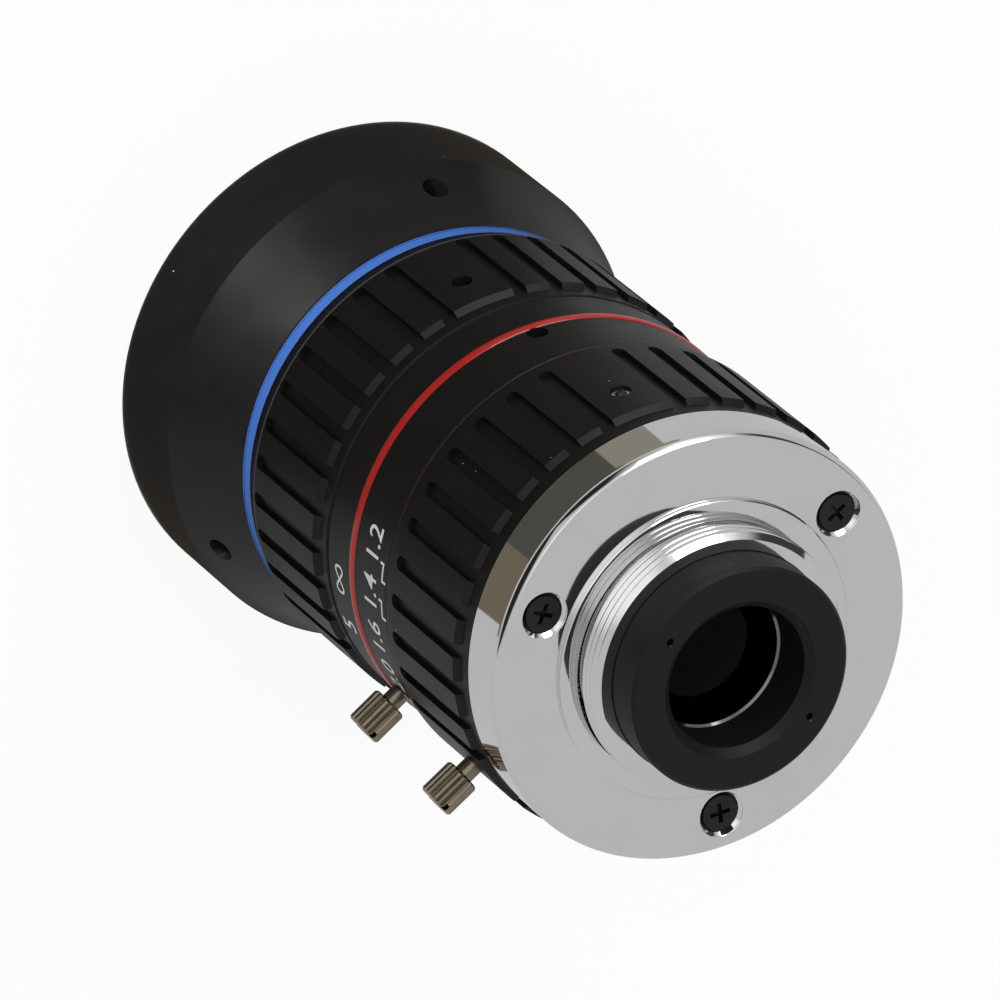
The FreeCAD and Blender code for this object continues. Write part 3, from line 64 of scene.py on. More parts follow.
def gridFaces(rows, columns, start=0, closed=False):
    # quads between neighbouring rows and columns of a grid of points
    # closed joins the last column to the first
    last = columns if closed else columns - 1
    row, column = np.meshgrid(np.arange(rows - 1), np.arange(last), indexing="ij")
    following = (column + 1) % columns
    corners = [row * columns + column, row * columns + following,
               (row + 1) * columns + following, (row + 1) * columns + column]
    return np.stack([corner.ravel() for corner in corners], axis=1) + start


def latheGrid(profile, degrees):
    # every profile point (radius, height) carried to every angle about the axis
    radius, height = np.array(profile, float).T
    angle = np.radians(degrees)
    x = np.outer(radius, np.cos(angle))
    y = np.outer(radius, np.sin(angle))
    z = np.outer(height, np.ones_like(angle))
    return np.stack([x, y, z], axis=-1).reshape(-1, 3)


def meshPiece(name, points, faces, body):
    # a piece from points in metres and lists of corners
    mesh = bpy.data.meshes.new(name)
    mesh.from_pydata(points.tolist(), [], faces.tolist() if isinstance(faces, np.ndarray) else faces)
    piece = bpy.data.objects.new(name, mesh)
    scene.collection.objects.link(piece)
    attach(piece, body)
    return piece


def closeSeams(piece, degrees):
    # merge the seams, then let the shading break at corners steeper than this
    for other in scene.objects:
        other.select_set(other is piece)
    bpy.context.view_layer.objects.active = piece
    bpy.ops.object.mode_set(mode="EDIT")
    bpy.ops.mesh.select_all(action="SELECT")
    bpy.ops.mesh.remove_doubles(threshold=seamGap)
    bpy.ops.mesh.normals_make_consistent(inside=False)
    bpy.ops.object.mode_set(mode="OBJECT")
    bpy.ops.object.shade_smooth_by_angle(angle=math.radians(degrees))
    piece.select_set(False)


# The chrome mount: a turned shape with a real screw thread and three countersinks
mountShape = {
    "frontRadius": 15.3, "frontZ": -7.95, "boreRadius": 10.95, "sideRadius": 21.0, "sideZ": -5.75,
    "faceZ": -0.5, "edgeDepth": 0.75, "edgeWidth": 0.42, "edgeRound": 0.12,
    "sideCorner": [(0, -0.12), (0, -0.05), (-0.03, 0.04)], "faceCorner": [(0.04, -0.07), (-0.05, 0)],
    "seatRadius": 14.6, "seatRound": 0.1, "seatCorner": [(0.05, 0), (0, 0.04)],
    "stepRadius": 12.75, "stepDepth": 0.1, "reliefRadius": 12.2, "reliefZ": 0.5,
    "threadRadius": 12.7, "threadPitch": 25.4 / 32, "threadDepth": 0.40, "threadRows": 36,
    "endZ": 2.95, "leadDepth": 0.7, "boreEdge": 0.06, "screwAngles": (0, 120, 240),
    "screwCircle": 17.3, "screwSink": 2.2, "sinkStep": 0.1, "sinkHole": 1.15, "sinkDepth": 4.0,
    "sinkCorner": (0.06, 0.05), "blockHalfAngle": 8, "blockRows": 9, "blockShares": (0.0, 0.4, 0.75, 0.95),
    "turnStep": 1.0, "threadStep": 1.5,
}


def threadGrid(shape):
    # radius = crest - depth * (1 - cos(pi * wave)) / 2, where wave follows height / pitch - angle / turn
    # the cone of the lead cuts it, and rows run along the helix, so that a crest is one row
    pitch, low, high = shape["threadPitch"], shape["reliefZ"], shape["endZ"]
    turns = np.arange(-1.0, (high - low) / pitch + 1e-9, 1 / shape["threadRows"])
    degrees = np.arange(0, 361, shape["threadStep"])
    phase, angle = np.meshgrid(turns, np.radians(degrees), indexing="ij")
    height = np.clip(low + pitch * (phase + angle / (2 * math.pi)), low, high)
    wave = np.abs(((height - low) / pitch - angle / (2 * math.pi)) % 1.0 - 0.5) * 2
    fall = (1 - np.cos(math.pi * wave)) / 2
    lead = shape["threadRadius"] - np.clip(height - (high - shape["leadDepth"]), 0, None)
    radius = np.minimum(shape["threadRadius"] - shape["threadDepth"] * fall, lead)
    points = np.stack([radius * np.cos(angle), radius * np.sin(angle), height], axis=-1)
    return points.reshape(-1, 3), phase.shape


def countersinkGrid(shape, inner, outer, middle):
    # ring = border * (1 - share) + rim * share over a block of the face, then rings down the hole's wall
    half = shape["blockHalfAngle"]
    arc = np.arange(-half, half + shape["turnStep"], shape["turnStep"])
    radial = np.linspace(inner, outer, shape["blockRows"])
    side = np.ones(len(radial) - 2)
    angle = np.radians(np.concatenate([arc, half * side, arc[::-1], -half * side]))
    radius = np.concatenate([inner + 0 * arc, radial[1:-1], outer + 0 * arc, radial[-2:0:-1]])
    border = np.stack([radius * np.cos(angle), radius * np.sin(angle)], axis=1)
    centre = np.array([shape["screwCircle"], 0.0])
    toward = border - centre
    toward = toward / np.linalg.norm(toward, axis=1, keepdims=True)
    face, sink, step, hole = shape["faceZ"], shape["screwSink"], shape["sinkStep"], shape["sinkHole"]
    rimWidth, rimDepth = shape["sinkCorner"]
    rings = []
    for share in shape["blockShares"]:
        flat = border * (1 - share) + (centre + toward * (sink + rimWidth)) * share
        rings.append(np.column_stack([flat, np.full(len(flat), face)]))
    wall = [(sink + rimWidth, 0.0), (sink, rimDepth), (sink, step), (hole, step + sink - hole),
            (hole, shape["sinkDepth"])]
    for wide, deep in wall:
        rings.append(np.column_stack([centre + toward * wide, np.full(len(border), face - deep)]))
    turn = math.radians(middle)
    c, s = math.cos(turn), math.sin(turn)
    spin = np.array([[c, s, 0], [-s, c, 0], [0, 0, 1]])
    return np.concatenate(rings) @ spin, len(rings), len(border)


def cornerPoints(radius, height, offsets):
    return [(radius + outward, height + along) for outward, along in offsets]


def makeMount(shape):
    # profiles of (radius, height): outside from the bore's end round to the face, inside from the face to
    # the thread, and the end of the thread; the thread and the face with its holes lie between them
    face, side, r = shape["faceZ"], shape["sideRadius"], shape["edgeRound"]
    edge = side - shape["edgeWidth"]
    low = face - shape["edgeDepth"]
    seat, seatRound = shape["seatRadius"], shape["seatRound"]
    root = shape["threadRadius"] - shape["threadDepth"]
    outside = [
        (shape["boreRadius"], shape["endZ"] - shape["boreEdge"]), (shape["boreRadius"], shape["frontZ"]),
        (shape["frontRadius"], shape["frontZ"]), (shape["frontRadius"], shape["sideZ"]),
        (side - r, shape["sideZ"]), (side, shape["sideZ"] + r), (side, shape["sideZ"] + 2 * r),
        *cornerPoints(side, low, shape["sideCorner"]), *cornerPoints(edge, face, shape["faceCorner"]),
    ]
    inside = [
        *cornerPoints(seat, face, shape["seatCorner"]), (seat, -seatRound), (seat - seatRound, 0.0),
        (shape["stepRadius"], 0.0), (shape["stepRadius"], -shape["stepDepth"]),
        (shape["reliefRadius"], -shape["stepDepth"]), (shape["reliefRadius"], shape["reliefZ"]),
        (root, shape["reliefZ"]),
    ]
    end = [
        (shape["threadRadius"] - shape["leadDepth"], shape["endZ"]),
        (shape["boreRadius"] + shape["boreEdge"], shape["endZ"]),
        (shape["boreRadius"], shape["endZ"] - shape["boreEdge"]),
    ]
    grids = []
    turned = [(outside, shape["turnStep"]), (inside, shape["turnStep"]), (end, shape["threadStep"])]
    for profile, step in turned:
        degrees = np.arange(0, 360, step)
        grids.append((latheGrid(profile, degrees), len(profile), len(degrees), True))
    thread, (rows, columns) = threadGrid(shape)
    grids.append((thread, rows, columns, False))
    rim, inner, half = outside[-1][0], inside[0][0], shape["blockHalfAngle"]
    flat = [(radius, face) for radius in np.linspace(rim, inner, shape["blockRows"])]
    for middle in shape["screwAngles"]:
        sink, rows, columns = countersinkGrid(shape, inner, rim, middle)
        grids.append((sink, rows, columns, True))
        sector = np.arange(middle + half, middle + 121 - half)  # to the next screw's block
        grids.append((latheGrid(flat, sector), len(flat), len(sector), False))
    points, faces, start = [], [], 0
    for grid, rows, columns, closed in grids:
        points.append(grid)
        faces.append(gridFaces(rows, columns, start, closed))
        start += len(grid)
    allPoints, allFaces = np.concatenate(points) * mm, np.concatenate(faces)
    mount = meshPiece("chromeMount", allPoints, allFaces, "barrel")
    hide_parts("mount_flange")
    closeSeams(mount, 25)
    return mount


# The broken edges of the two spanner holes in the rear cell
holeShape = {"circle": 8.85, "angle": 106.5, "faceZ": 6.9, "sunk": 0.005, "radius": 0.42, "inner": 0.33,
             "deep": 0.12, "turnStep": 15}


def makeHoleEdges(shape):
    # a thin cone from (radius, top) to (inner, bottom) round each hole, with a back to close it
    top, bottom = shape["faceZ"] - shape["sunk"], shape["faceZ"] - shape["deep"]
    profile = [(shape["radius"], top), (shape["inner"], bottom), (shape["radius"], bottom),
               (shape["radius"], top)]
    degrees = np.arange(0, 360, shape["turnStep"])
    ring = latheGrid(profile, degrees)
    places = [math.radians(shape["angle"] + turn) for turn in (0, 180)]
    points = [ring + [shape["circle"] * math.cos(a), shape["circle"] * math.sin(a), 0] for a in places]
    faces = [gridFaces(len(profile), len(degrees), start, True) for start in (0, len(ring))]
    allPoints, allFaces = np.concatenate(points) * mm, np.concatenate(faces)
    edges = meshPiece("spannerHoleEdges", allPoints, allFaces, "barrel")
    closeSeams(edges, 30)
    return edges


holeEdges = makeHoleEdges(holeShape)

# The polished bevel round the rear lens, where the cell's shoulder holds it
bevelShape = {"outer": 6.89, "inner": 6.62, "top": 1.52, "bottom": 1.31, "turnStep": 2}


def makeGlassBevel(shape):
    # a thin cone from (outer, top) on the cell's bore to (inner, bottom) on the glass, closed at the back
    profile = [(shape["outer"], shape["top"]), (shape["inner"], shape["bottom"]),
               (shape["outer"], shape["bottom"]), (shape["outer"], shape["top"])]
    degrees = np.arange(0, 360, shape["turnStep"])
    ring, faces = latheGrid(profile, degrees), gridFaces(len(profile), len(degrees), 0, True)
    bevel = meshPiece("glassBevel", ring * mm, faces, "barrel")
    closeSeams(bevel, 30)
    return bevel


glassBevel = makeGlassBevel(bevelShape)
mount = makeMount(mountShape)
print("mount made,", len(mount.data.polygons), "faces")

# Marks on the barrel's band, bent round its cylinder
markSizes = {
    "bandRadius": 20.88, "lift": 0.02, "capHeight": 2.45, "widthShare": 0.87, "stroke": 0.26,
    "fontRound": 5, "fontWeight": 0.008,
    "irisZ": -25.6, "focusZ": -32.05, "firstIris": 130.2, "irisStep": 13.1,
    "irisNumbers": ["1.2", "1.4", "1.6", "2.0", "2.8", "4", "5.6", "8", "16"],
    "focusNumbers": {"5": 161.8, "3": 188.0, "2": 198.0, "1.5": 209.0, "1": 220.0},
    "infinityAngle": 148.2, "infinitySize": (2.7, 1.3), "infinityPoints": 61,
    "leaders": [134.1, 144.2], "leaderTurn": 4.6, "leaderZ": (-23.9, -23.3, -22.6), "leaderPoints": 9,
}


def wrapOnBand(flat, angle, height, radius):
    # x runs round the cylinder towards smaller angles, y along the axis towards the front
    turn = math.radians(angle) - flat[:, 0] / radius
    return np.stack([radius * np.cos(turn), radius * np.sin(turn), height - flat[:, 1]], axis=1)


def numberShape(words, size):
    # the flat mesh of a number, centred and scaled to the height of its figures
    curve = bpy.data.curves.new("numberCurve", "FONT")
    curve.body = words
    curve.resolution_u = size["fontRound"]
    curve.offset = size["fontWeight"]
    letters = bpy.data.objects.new("numberCurve", curve)
    scene.collection.objects.link(letters)
    bpy.context.view_layer.update()
    mesh = bpy.data.meshes.new_from_object(letters)
    bpy.data.objects.remove(letters)
    flat = np.zeros(len(mesh.vertices) * 3)
    mesh.vertices.foreach_get("co", flat)
    flat = flat.reshape(-1, 3)[:, :2]
    faces = [list(polygon.vertices) for polygon in mesh.polygons]
    low, high = flat.min(axis=0), flat.max(axis=0)
    scale = size["capHeight"] / (high[1] - low[1])
    return (flat - (low + high) / 2) * [scale * size["widthShare"], scale], faces


def ribbonShape(path, width):
    # a band of even width along a path of points
    path = np.array(path, float)
    ahead = np.gradient(path, axis=0)
    if np.allclose(path[0], path[-1]):
        ahead[0] = ahead[-1] = path[1] - path[-2]
    side = np.stack([-ahead[:, 1], ahead[:, 0]], axis=1)
    side = side / np.linalg.norm(side, axis=1, keepdims=True) * width / 2
    count = len(path)
    faces = [[count + k, count + k + 1, k + 1, k] for k in range(count - 1)]
    return np.concatenate([path + side, path - side]), faces


def infinityShape(size):
    # a figure of eight: x follows the cosine of t and y the sine of twice t
    t = np.linspace(0, 2 * math.pi, size["infinityPoints"])
    wide, high = size["infinitySize"]
    path = np.stack([np.cos(t) * wide / 2, np.sin(2 * t) * high / 2], axis=1)
    return ribbonShape(path, size["stroke"])


def makeMarks(size):
    # numbers and the infinity sign first, then the three strokes of each leader line
    radius = size["bandRadius"] + size["lift"]
    placed = [(infinityShape(size), size["infinityAngle"], size["focusZ"])]
    placed += [(numberShape(words, size), angle, size["focusZ"])
               for words, angle in size["focusNumbers"].items()]
    placed += [(numberShape(words, size), size["firstIris"] + step * size["irisStep"], size["irisZ"])
               for step, words in enumerate(size["irisNumbers"])]
    top, run, seam = size["leaderZ"]
    long = -math.radians(size["leaderTurn"]) * radius
    half = size["stroke"] / 2
    bars = [((0, run - top), (0, 0)), ((half, 0), (long - half, 0)), ((long, 0), (long, run - seam))]
    for start, end in bars:
        bar = ribbonShape(np.linspace(start, end, size["leaderPoints"]), size["stroke"])
        placed += [(bar, angle, run) for angle in size["leaders"]]
    points, faces, start = [], [], 0
    for (flat, corners), angle, height in placed:
        points.append(wrapOnBand(flat, angle, height, radius))
        faces += [[start + corner for corner in face] for face in corners]
        start += len(flat)
    return meshPiece("bandMarks", np.concatenate(points) * mm, faces, "barrel")


marks = makeMarks(markSizes)
print("marks made")


# Helpers for shader nodes

def newGroup(name, inputs, outputs):
    group = bpy.data.node_groups.new(name, "ShaderNodeTree")
    for label, kind, value in inputs:
        socket = group.interface.new_socket(name=label, in_out="INPUT", socket_type=kind)
        socket.default_value = value
    for label, kind in outputs:
        group.interface.new_socket(name=label, in_out="OUTPUT", socket_type=kind)
    return group, group.nodes.new("NodeGroupInput"), group.nodes.new("NodeGroupOutput")


def node(tree, kind, **settings):
    made = tree.nodes.new(kind)
    for label, value in settings.items():
        setattr(made, label, value)
    return made


def mathNode(tree, operation, first, second=None, clamp=False):
    made = node(tree, "ShaderNodeMath", operation=operation, use_clamp=clamp)
    for place, value in enumerate((first, second)):
        if value is None:
            continue
        if isinstance(value, (int, float)):
            made.inputs[place].default_value = value
        else:
            tree.links.new(value, made.inputs[place])
    return made.outputs[0]


def objectPoint(tree):
    # the point of the object in millimetres
    place = node(tree, "ShaderNodeTexCoord").outputs["Object"]
    scaled = node(tree, "ShaderNodeVectorMath", operation="SCALE")
    scaled.inputs["Scale"].default_value = 1 / mm
    tree.links.new(place, scaled.inputs[0])
    return scaled.outputs[0]


def radiusAndHeight(tree):
    # radius = sqrt(x^2 + y^2) from the axis, and height z along it, in millimetres
    split = node(tree, "ShaderNodeSeparateXYZ")
    tree.links.new(objectPoint(tree), split.inputs[0])
    squares = mathNode(tree, "ADD", mathNode(tree, "POWER", split.outputs[0], 2),
                       mathNode(tree, "POWER", split.outputs[1], 2))
    return mathNode(tree, "SQRT", squares), split.outputs[2]


def softEdge(tree, inside, softness):
    # 0 to 1 over a width of softness where the value inside passes 0
    return mathNode(tree, "ADD", mathNode(tree, "DIVIDE", inside, softness), 0.5, clamp=True)


def makeBandMask():
    # 1 where the height is within halfWidth of middle and the radius above lowRadius, with soft borders
    group, given, result = newGroup(
        "bandMask", [("Middle", "NodeSocketFloat", 0.0), ("Half Width", "NodeSocketFloat", 0.5),
                     ("Low Radius", "NodeSocketFloat", 0.0), ("Softness", "NodeSocketFloat", 0.03)],
        [("Mask", "NodeSocketFloat")])
    radius, height = radiusAndHeight(group)
    away = mathNode(group, "ABSOLUTE", mathNode(group, "SUBTRACT", height, given.outputs["Middle"]))
    inside = mathNode(group, "SUBTRACT", given.outputs["Half Width"], away)
    along = softEdge(group, inside, given.outputs["Softness"])
    out = mathNode(group, "SUBTRACT", radius, given.outputs["Low Radius"])
    outward = softEdge(group, out, given.outputs["Softness"])
    group.links.new(mathNode(group, "MULTIPLY", along, outward), result.inputs["Mask"])
    return group


def makeDust():
    # small specks: cells of a Voronoi pattern whose own random number is high show a dot at their centre
    group, given, result = newGroup(
        "dustSpecks", [("Cell Count", "NodeSocketFloat", 0.9), ("Speck Size", "NodeSocketFloat", 0.04),
                       ("Share", "NodeSocketFloat", 0.15)], [("Mask", "NodeSocketFloat")])
    cells = node(group, "ShaderNodeTexVoronoi", feature="F1")
    group.links.new(objectPoint(group), cells.inputs["Vector"])
    group.links.new(given.outputs["Cell Count"], cells.inputs["Scale"])
    near = mathNode(group, "LESS_THAN", cells.outputs["Distance"], given.outputs["Speck Size"])
    chance = node(group, "ShaderNodeSeparateColor")
    group.links.new(cells.outputs["Color"], chance.inputs[0])
    chosen = mathNode(group, "LESS_THAN", chance.outputs[0], given.outputs["Share"])
    group.links.new(mathNode(group, "MULTIPLY", near, chosen), result.inputs["Mask"])
    return group


def makeGrain():
    # the fine grain of a blasted and anodised surface, with a slower cloud for its patches
    group, given, result = newGroup(
        "blastedGrain",
        [("Grain Scale", "NodeSocketFloat", 14.0), ("Cloud Scale", "NodeSocketFloat", 0.25)],
        [("Grain", "NodeSocketFloat"), ("Cloud", "NodeSocketFloat")])
    point = objectPoint(group)
    for label, scale, detail in (("Grain", "Grain Scale", 2.0), ("Cloud", "Cloud Scale", 4.0)):
        noise = node(group, "ShaderNodeTexNoise")
        noise.inputs["Detail"].default_value = detail
        group.links.new(point, noise.inputs["Vector"])
        group.links.new(given.outputs[scale], noise.inputs["Scale"])
        group.links.new(noise.outputs[0], result.inputs[label])
    return group


def makeTurned():
    # rings left by the turning tool: noise read along radius and height only
    group, given, result = newGroup(
        "turningMarks", [("Ring Scale", "NodeSocketFloat", 6.0)], [("Height", "NodeSocketFloat")])
    radius, height = radiusAndHeight(group)
    place = node(group, "ShaderNodeCombineXYZ")
    group.links.new(radius, place.inputs[0])
    group.links.new(height, place.inputs[1])
    noise = node(group, "ShaderNodeTexNoise", noise_dimensions="2D")
    noise.inputs["Detail"].default_value = 3.0
    group.links.new(place.outputs[0], noise.inputs["Vector"])
    group.links.new(given.outputs["Ring Scale"], noise.inputs["Scale"])
    group.links.new(noise.outputs[0], result.inputs["Height"])
    return group


bandMask = makeBandMask()
dustSpecks = makeDust()
blastedGrain = makeGrain()
turningMarks = makeTurned()
finishValues = {"bumpDistance": 0.00001, "coatRough": 0.1, "roughSpread": 0.05, "metalSpread": (0.7, 1.3)}


def newMaterial(name, **values):
    # a Principled material; an underscore in a value's name stands for a space
    made = bpy.data.materials.new(name)
    made.use_nodes = True
    shader = made.node_tree.nodes["Principled BSDF"]
    for label, value in values.items():
        shader.inputs[label.replace("_", " ")].default_value = value
    return made, made.node_tree, shader


def useGroup(tree, group, **values):
    placed = node(tree, "ShaderNodeGroup", node_tree=group)
    for label, value in values.items():
        placed.inputs[label.replace("_", " ")].default_value = value
    return placed


def mixColours(tree, mask, first, second):
    mixed = node(tree, "ShaderNodeMix", data_type="RGBA")
    tree.links.new(mask, mixed.inputs["Factor"])
    for socket, colour in ((mixed.inputs[6], first), (mixed.inputs[7], second)):
        if isinstance(colour, tuple):
            socket.default_value = colour
        else:
            tree.links.new(colour, socket)
    return mixed.outputs[2]


def spread(tree, value, low, high):
    # low + value * (high - low)
    ranged = node(tree, "ShaderNodeMapRange")
    ranged.inputs["To Min"].default_value = low
    ranged.inputs["To Max"].default_value = high
    tree.links.new(value, ranged.inputs["Value"])
    return ranged.outputs[0]


def bump(tree, height, shader, strength):
    made = node(tree, "ShaderNodeBump")
    made.inputs["Strength"].default_value = strength
    made.inputs["Distance"].default_value = finishValues["bumpDistance"]
    tree.links.new(height, made.inputs["Height"])
    tree.links.new(made.outputs[0], shader.inputs["Normal"])


def anodised(name, look, painted=()):
    # black anodised metal; painted bands of colour and painted highlights are (middle, half width, low
    # radius, colour, coat)
    made, tree, shader = newMaterial(name, Specular_IOR_Level=look["specular"])
    grain = useGroup(tree, blastedGrain, Grain_Scale=look["grainScale"])
    dust = useGroup(tree, dustSpecks, Cell_Count=look["dustCells"], Share=look["dustShare"])
    colour = mixColours(tree, grain.outputs["Cloud"], look["dark"], look["light"])
    colour = mixColours(tree, dust.outputs[0], colour, look["dust"])
    change = finishValues["roughSpread"]
    rough = spread(tree, grain.outputs["Cloud"], look["rough"] - change, look["rough"] + change)
    for middle, half, low, paint, coat in painted:
        band = useGroup(tree, bandMask, Middle=middle, Half_Width=half, Low_Radius=low)
        colour = mixColours(tree, band.outputs[0], colour, paint)
        shader.inputs["Coat Roughness"].default_value = finishValues["coatRough"]
        tree.links.new(spread(tree, band.outputs[0], 0, coat), shader.inputs["Coat Weight"])
    tree.links.new(colour, shader.inputs["Base Color"])
    tree.links.new(rough, shader.inputs["Roughness"])
    bump(tree, grain.outputs["Grain"], shader, look["bump"])
    return made


def bareMetal(name, look):
    # polished or turned metal, its marks running round the axis
    made, tree, shader = newMaterial(name, Metallic=1.0)
    grain = useGroup(tree, blastedGrain, Grain_Scale=look["grainScale"], Cloud_Scale=look["cloudScale"])
    rings = useGroup(tree, turningMarks, Ring_Scale=look["ringScale"])
    tree.links.new(mixColours(tree, grain.outputs["Cloud"], look["dark"], look["light"]),
                   shader.inputs["Base Color"])
    low, high = finishValues["metalSpread"]
    tree.links.new(spread(tree, rings.outputs[0], look["rough"] * low, look["rough"] * high),
                   shader.inputs["Roughness"])
    bump(tree, rings.outputs[0], shader, look["bump"])
    return made


ringLook = {
    "dark": (0.005, 0.005, 0.0052, 1), "light": (0.008, 0.008, 0.008, 1), "dust": (0.3, 0.3, 0.29, 1),
    "rough": 0.42, "specular": 0.2, "grainScale": 9.0, "bump": 0.12, "dustCells": 0.55, "dustShare": 0.2,
}
bellLook = dict(ringLook, dark=(0.003, 0.003, 0.0032, 1), light=(0.005, 0.005, 0.0052, 1), rough=0.35,
                specular=0.14, dustShare=0.05)
screwLook = dict(ringLook, rough=0.3, specular=0.3, dustShare=0.0)
wornLook = dict(screwLook, light=(0.05, 0.05, 0.05, 1), rough=0.2, specular=1.0)
mattLook = dict(ringLook, dark=(0.005, 0.005, 0.005, 1), light=(0.008, 0.008, 0.008, 1), rough=0.5,
                specular=0.2, dustShare=0.08)
insideLook = dict(mattLook, dark=(0.002, 0.002, 0.002, 1), light=(0.004, 0.004, 0.004, 1), rough=0.7,
                  specular=0.08)
chromeLook = {"dark": (0.70, 0.70, 0.70, 1), "light": (0.80, 0.80, 0.81, 1), "rough": 0.05,
              "grainScale": 2.0, "cloudScale": 0.15, "ringScale": 5.0, "bump": 0.02}
nickelLook = dict(chromeLook, dark=(0.19, 0.155, 0.11, 1), light=(0.30, 0.26, 0.20, 1), rough=0.22,
                  cloudScale=0.8, bump=0.05)
steelLook = dict(chromeLook, dark=(0.50, 0.50, 0.50, 1), light=(0.60, 0.60, 0.60, 1), rough=0.25)
aluminiumLook = dict(chromeLook, dark=(0.66, 0.67, 0.68, 1), light=(0.74, 0.75, 0.76, 1), rough=0.3,
                     bump=0.1)
brassLook = dict(chromeLook, dark=(0.60, 0.44, 0.18, 1), light=(0.70, 0.53, 0.25, 1), rough=0.3,
                 bump=0.1)
bevelLook = dict(chromeLook, dark=(0.15, 0.15, 0.16, 1), light=(0.20, 0.20, 0.21, 1), rough=0.08)
bladeLook = dict(chromeLook, dark=(0.05, 0.05, 0.055, 1), light=(0.08, 0.08, 0.085, 1), rough=0.35)

# Bands of paint, and painted highlights along two edges: (middle, half width, low radius, colour, coat)
blueStripe = (-51.2, 0.75, 20.4, (0.020, 0.058, 0.190, 1), 0.1)
redBead = (-29.4, 0.55, 20.86, (0.34, 0.006, 0.004, 1), 0.8)
# painted highlight: a pale line along the focus ring's front taper, where its rounded edge catches light
taperHighlight = (-48.55, 0.16, 21.2, (0.05, 0.05, 0.052, 1), 0.0)
# painted highlight: a pale line along the aperture ring's front edge, where its rounded edge catches light
seamHighlight = (-22.25, 0.07, 20.4, (0.045, 0.045, 0.045, 1), 0.0)

finishes = {
    "focus": anodised("focusBlack", ringLook, [taperHighlight]),
    "bell_black": anodised("bellBlack", bellLook, [blueStripe]),
    "band": anodised("bandBlack", ringLook, [redBead]),
    "aperture": anodised("apertureBlack", ringLook, [seamHighlight]),
    "matt_black": anodised("cellBlack", mattLook),
    "dark_inside": anodised("insideBlack", insideLook),
    "black_screw": anodised("screwBlack", screwLook),
    "worn_screw": anodised("wornScrew", wornLook),
    "chrome": bareMetal("polishedChrome", chromeLook),
    "nickel": bareMetal("wornNickel", nickelLook),
    "steel": bareMetal("plainSteel", steelLook),
    "plain_aluminium": bareMetal("bareAluminium", aluminiumLook),
    "plain_brass": bareMetal("bareBrass", brassLook),
    "blade_steel": bareMetal("darkBlade", bladeLook),
    "bevel": bareMetal("bevelShine", bevelLook),
}

# Glass and the paint of the marks
glassLook = {"dark": (0.34, 0.31, 0.44, 1), "light": (0.42, 0.38, 0.50, 1), "coat": (0.75, 0.65, 1.0, 1),
             "refraction": 1.2, "cloudScale": 0.1}
# painted shade: the rear lens is tinted almost black so that the inside of the lens behind it looks dark
shadedRearGlassLook = dict(glassLook, dark=(0.03, 0.028, 0.038, 1), light=(0.05, 0.045, 0.058, 1),
                     coat=(0.5, 0.46, 0.6, 1))
paintLook = {"dark": (0.50, 0.50, 0.47, 1), "light": (0.72, 0.72, 0.69, 1), "rough": 0.6,
             "grainScale": 5.0, "cloudScale": 2.0}


def coatedGlass(name, look):
    # clear glass with a faint purple coat that is uneven over the surface; the rear lens's look tints it
    # almost black, a painted shade of the lens's inside
    made, tree, shader = newMaterial(name, Transmission_Weight=1.0, IOR=look["refraction"], Roughness=0.0,
                                     Specular_Tint=look["coat"])
    grain = useGroup(tree, blastedGrain, Cloud_Scale=look["cloudScale"])
    tree.links.new(mixColours(tree, grain.outputs["Cloud"], look["dark"], look["light"]),
                   shader.inputs["Base Color"])
    return made


def whitePaint(look):
    # paint that is a little uneven over the surface
    made, tree, shader = newMaterial("markPaint", Roughness=look["rough"])
    grain = useGroup(tree, blastedGrain, Grain_Scale=look["grainScale"], Cloud_Scale=look["cloudScale"])
    tree.links.new(mixColours(tree, grain.outputs["Cloud"], look["dark"], look["light"]),
                   shader.inputs["Base Color"])
    return made


finishes["glass"] = coatedGlass("coatedGlass", glassLook)
finishes["rear_glass"] = coatedGlass("rearGlass", shadedRearGlassLook)
marks.data.materials.append(whitePaint(paintLook))
mount.data.materials.append(finishes["chrome"])
holeEdges.data.materials.append(finishes["black_screw"])
glassBevel.data.materials.append(finishes["bevel"])
ownFinish = {"centre_barrel": "band", "aperture_ring": "aperture", "focus_ring": "focus",
             "focus_set_screws": "worn_screw", "rear_lens": "rear_glass"}
slotOf = {part["node"]: part["material_slot"] for part in frame["record"]["subparts"]}
for name, piece in frame["nodes"].items():
    for place in piece.material_slots:
        place.material = finishes[ownFinish.get(name, slotOf[name])]
print("materials placed")

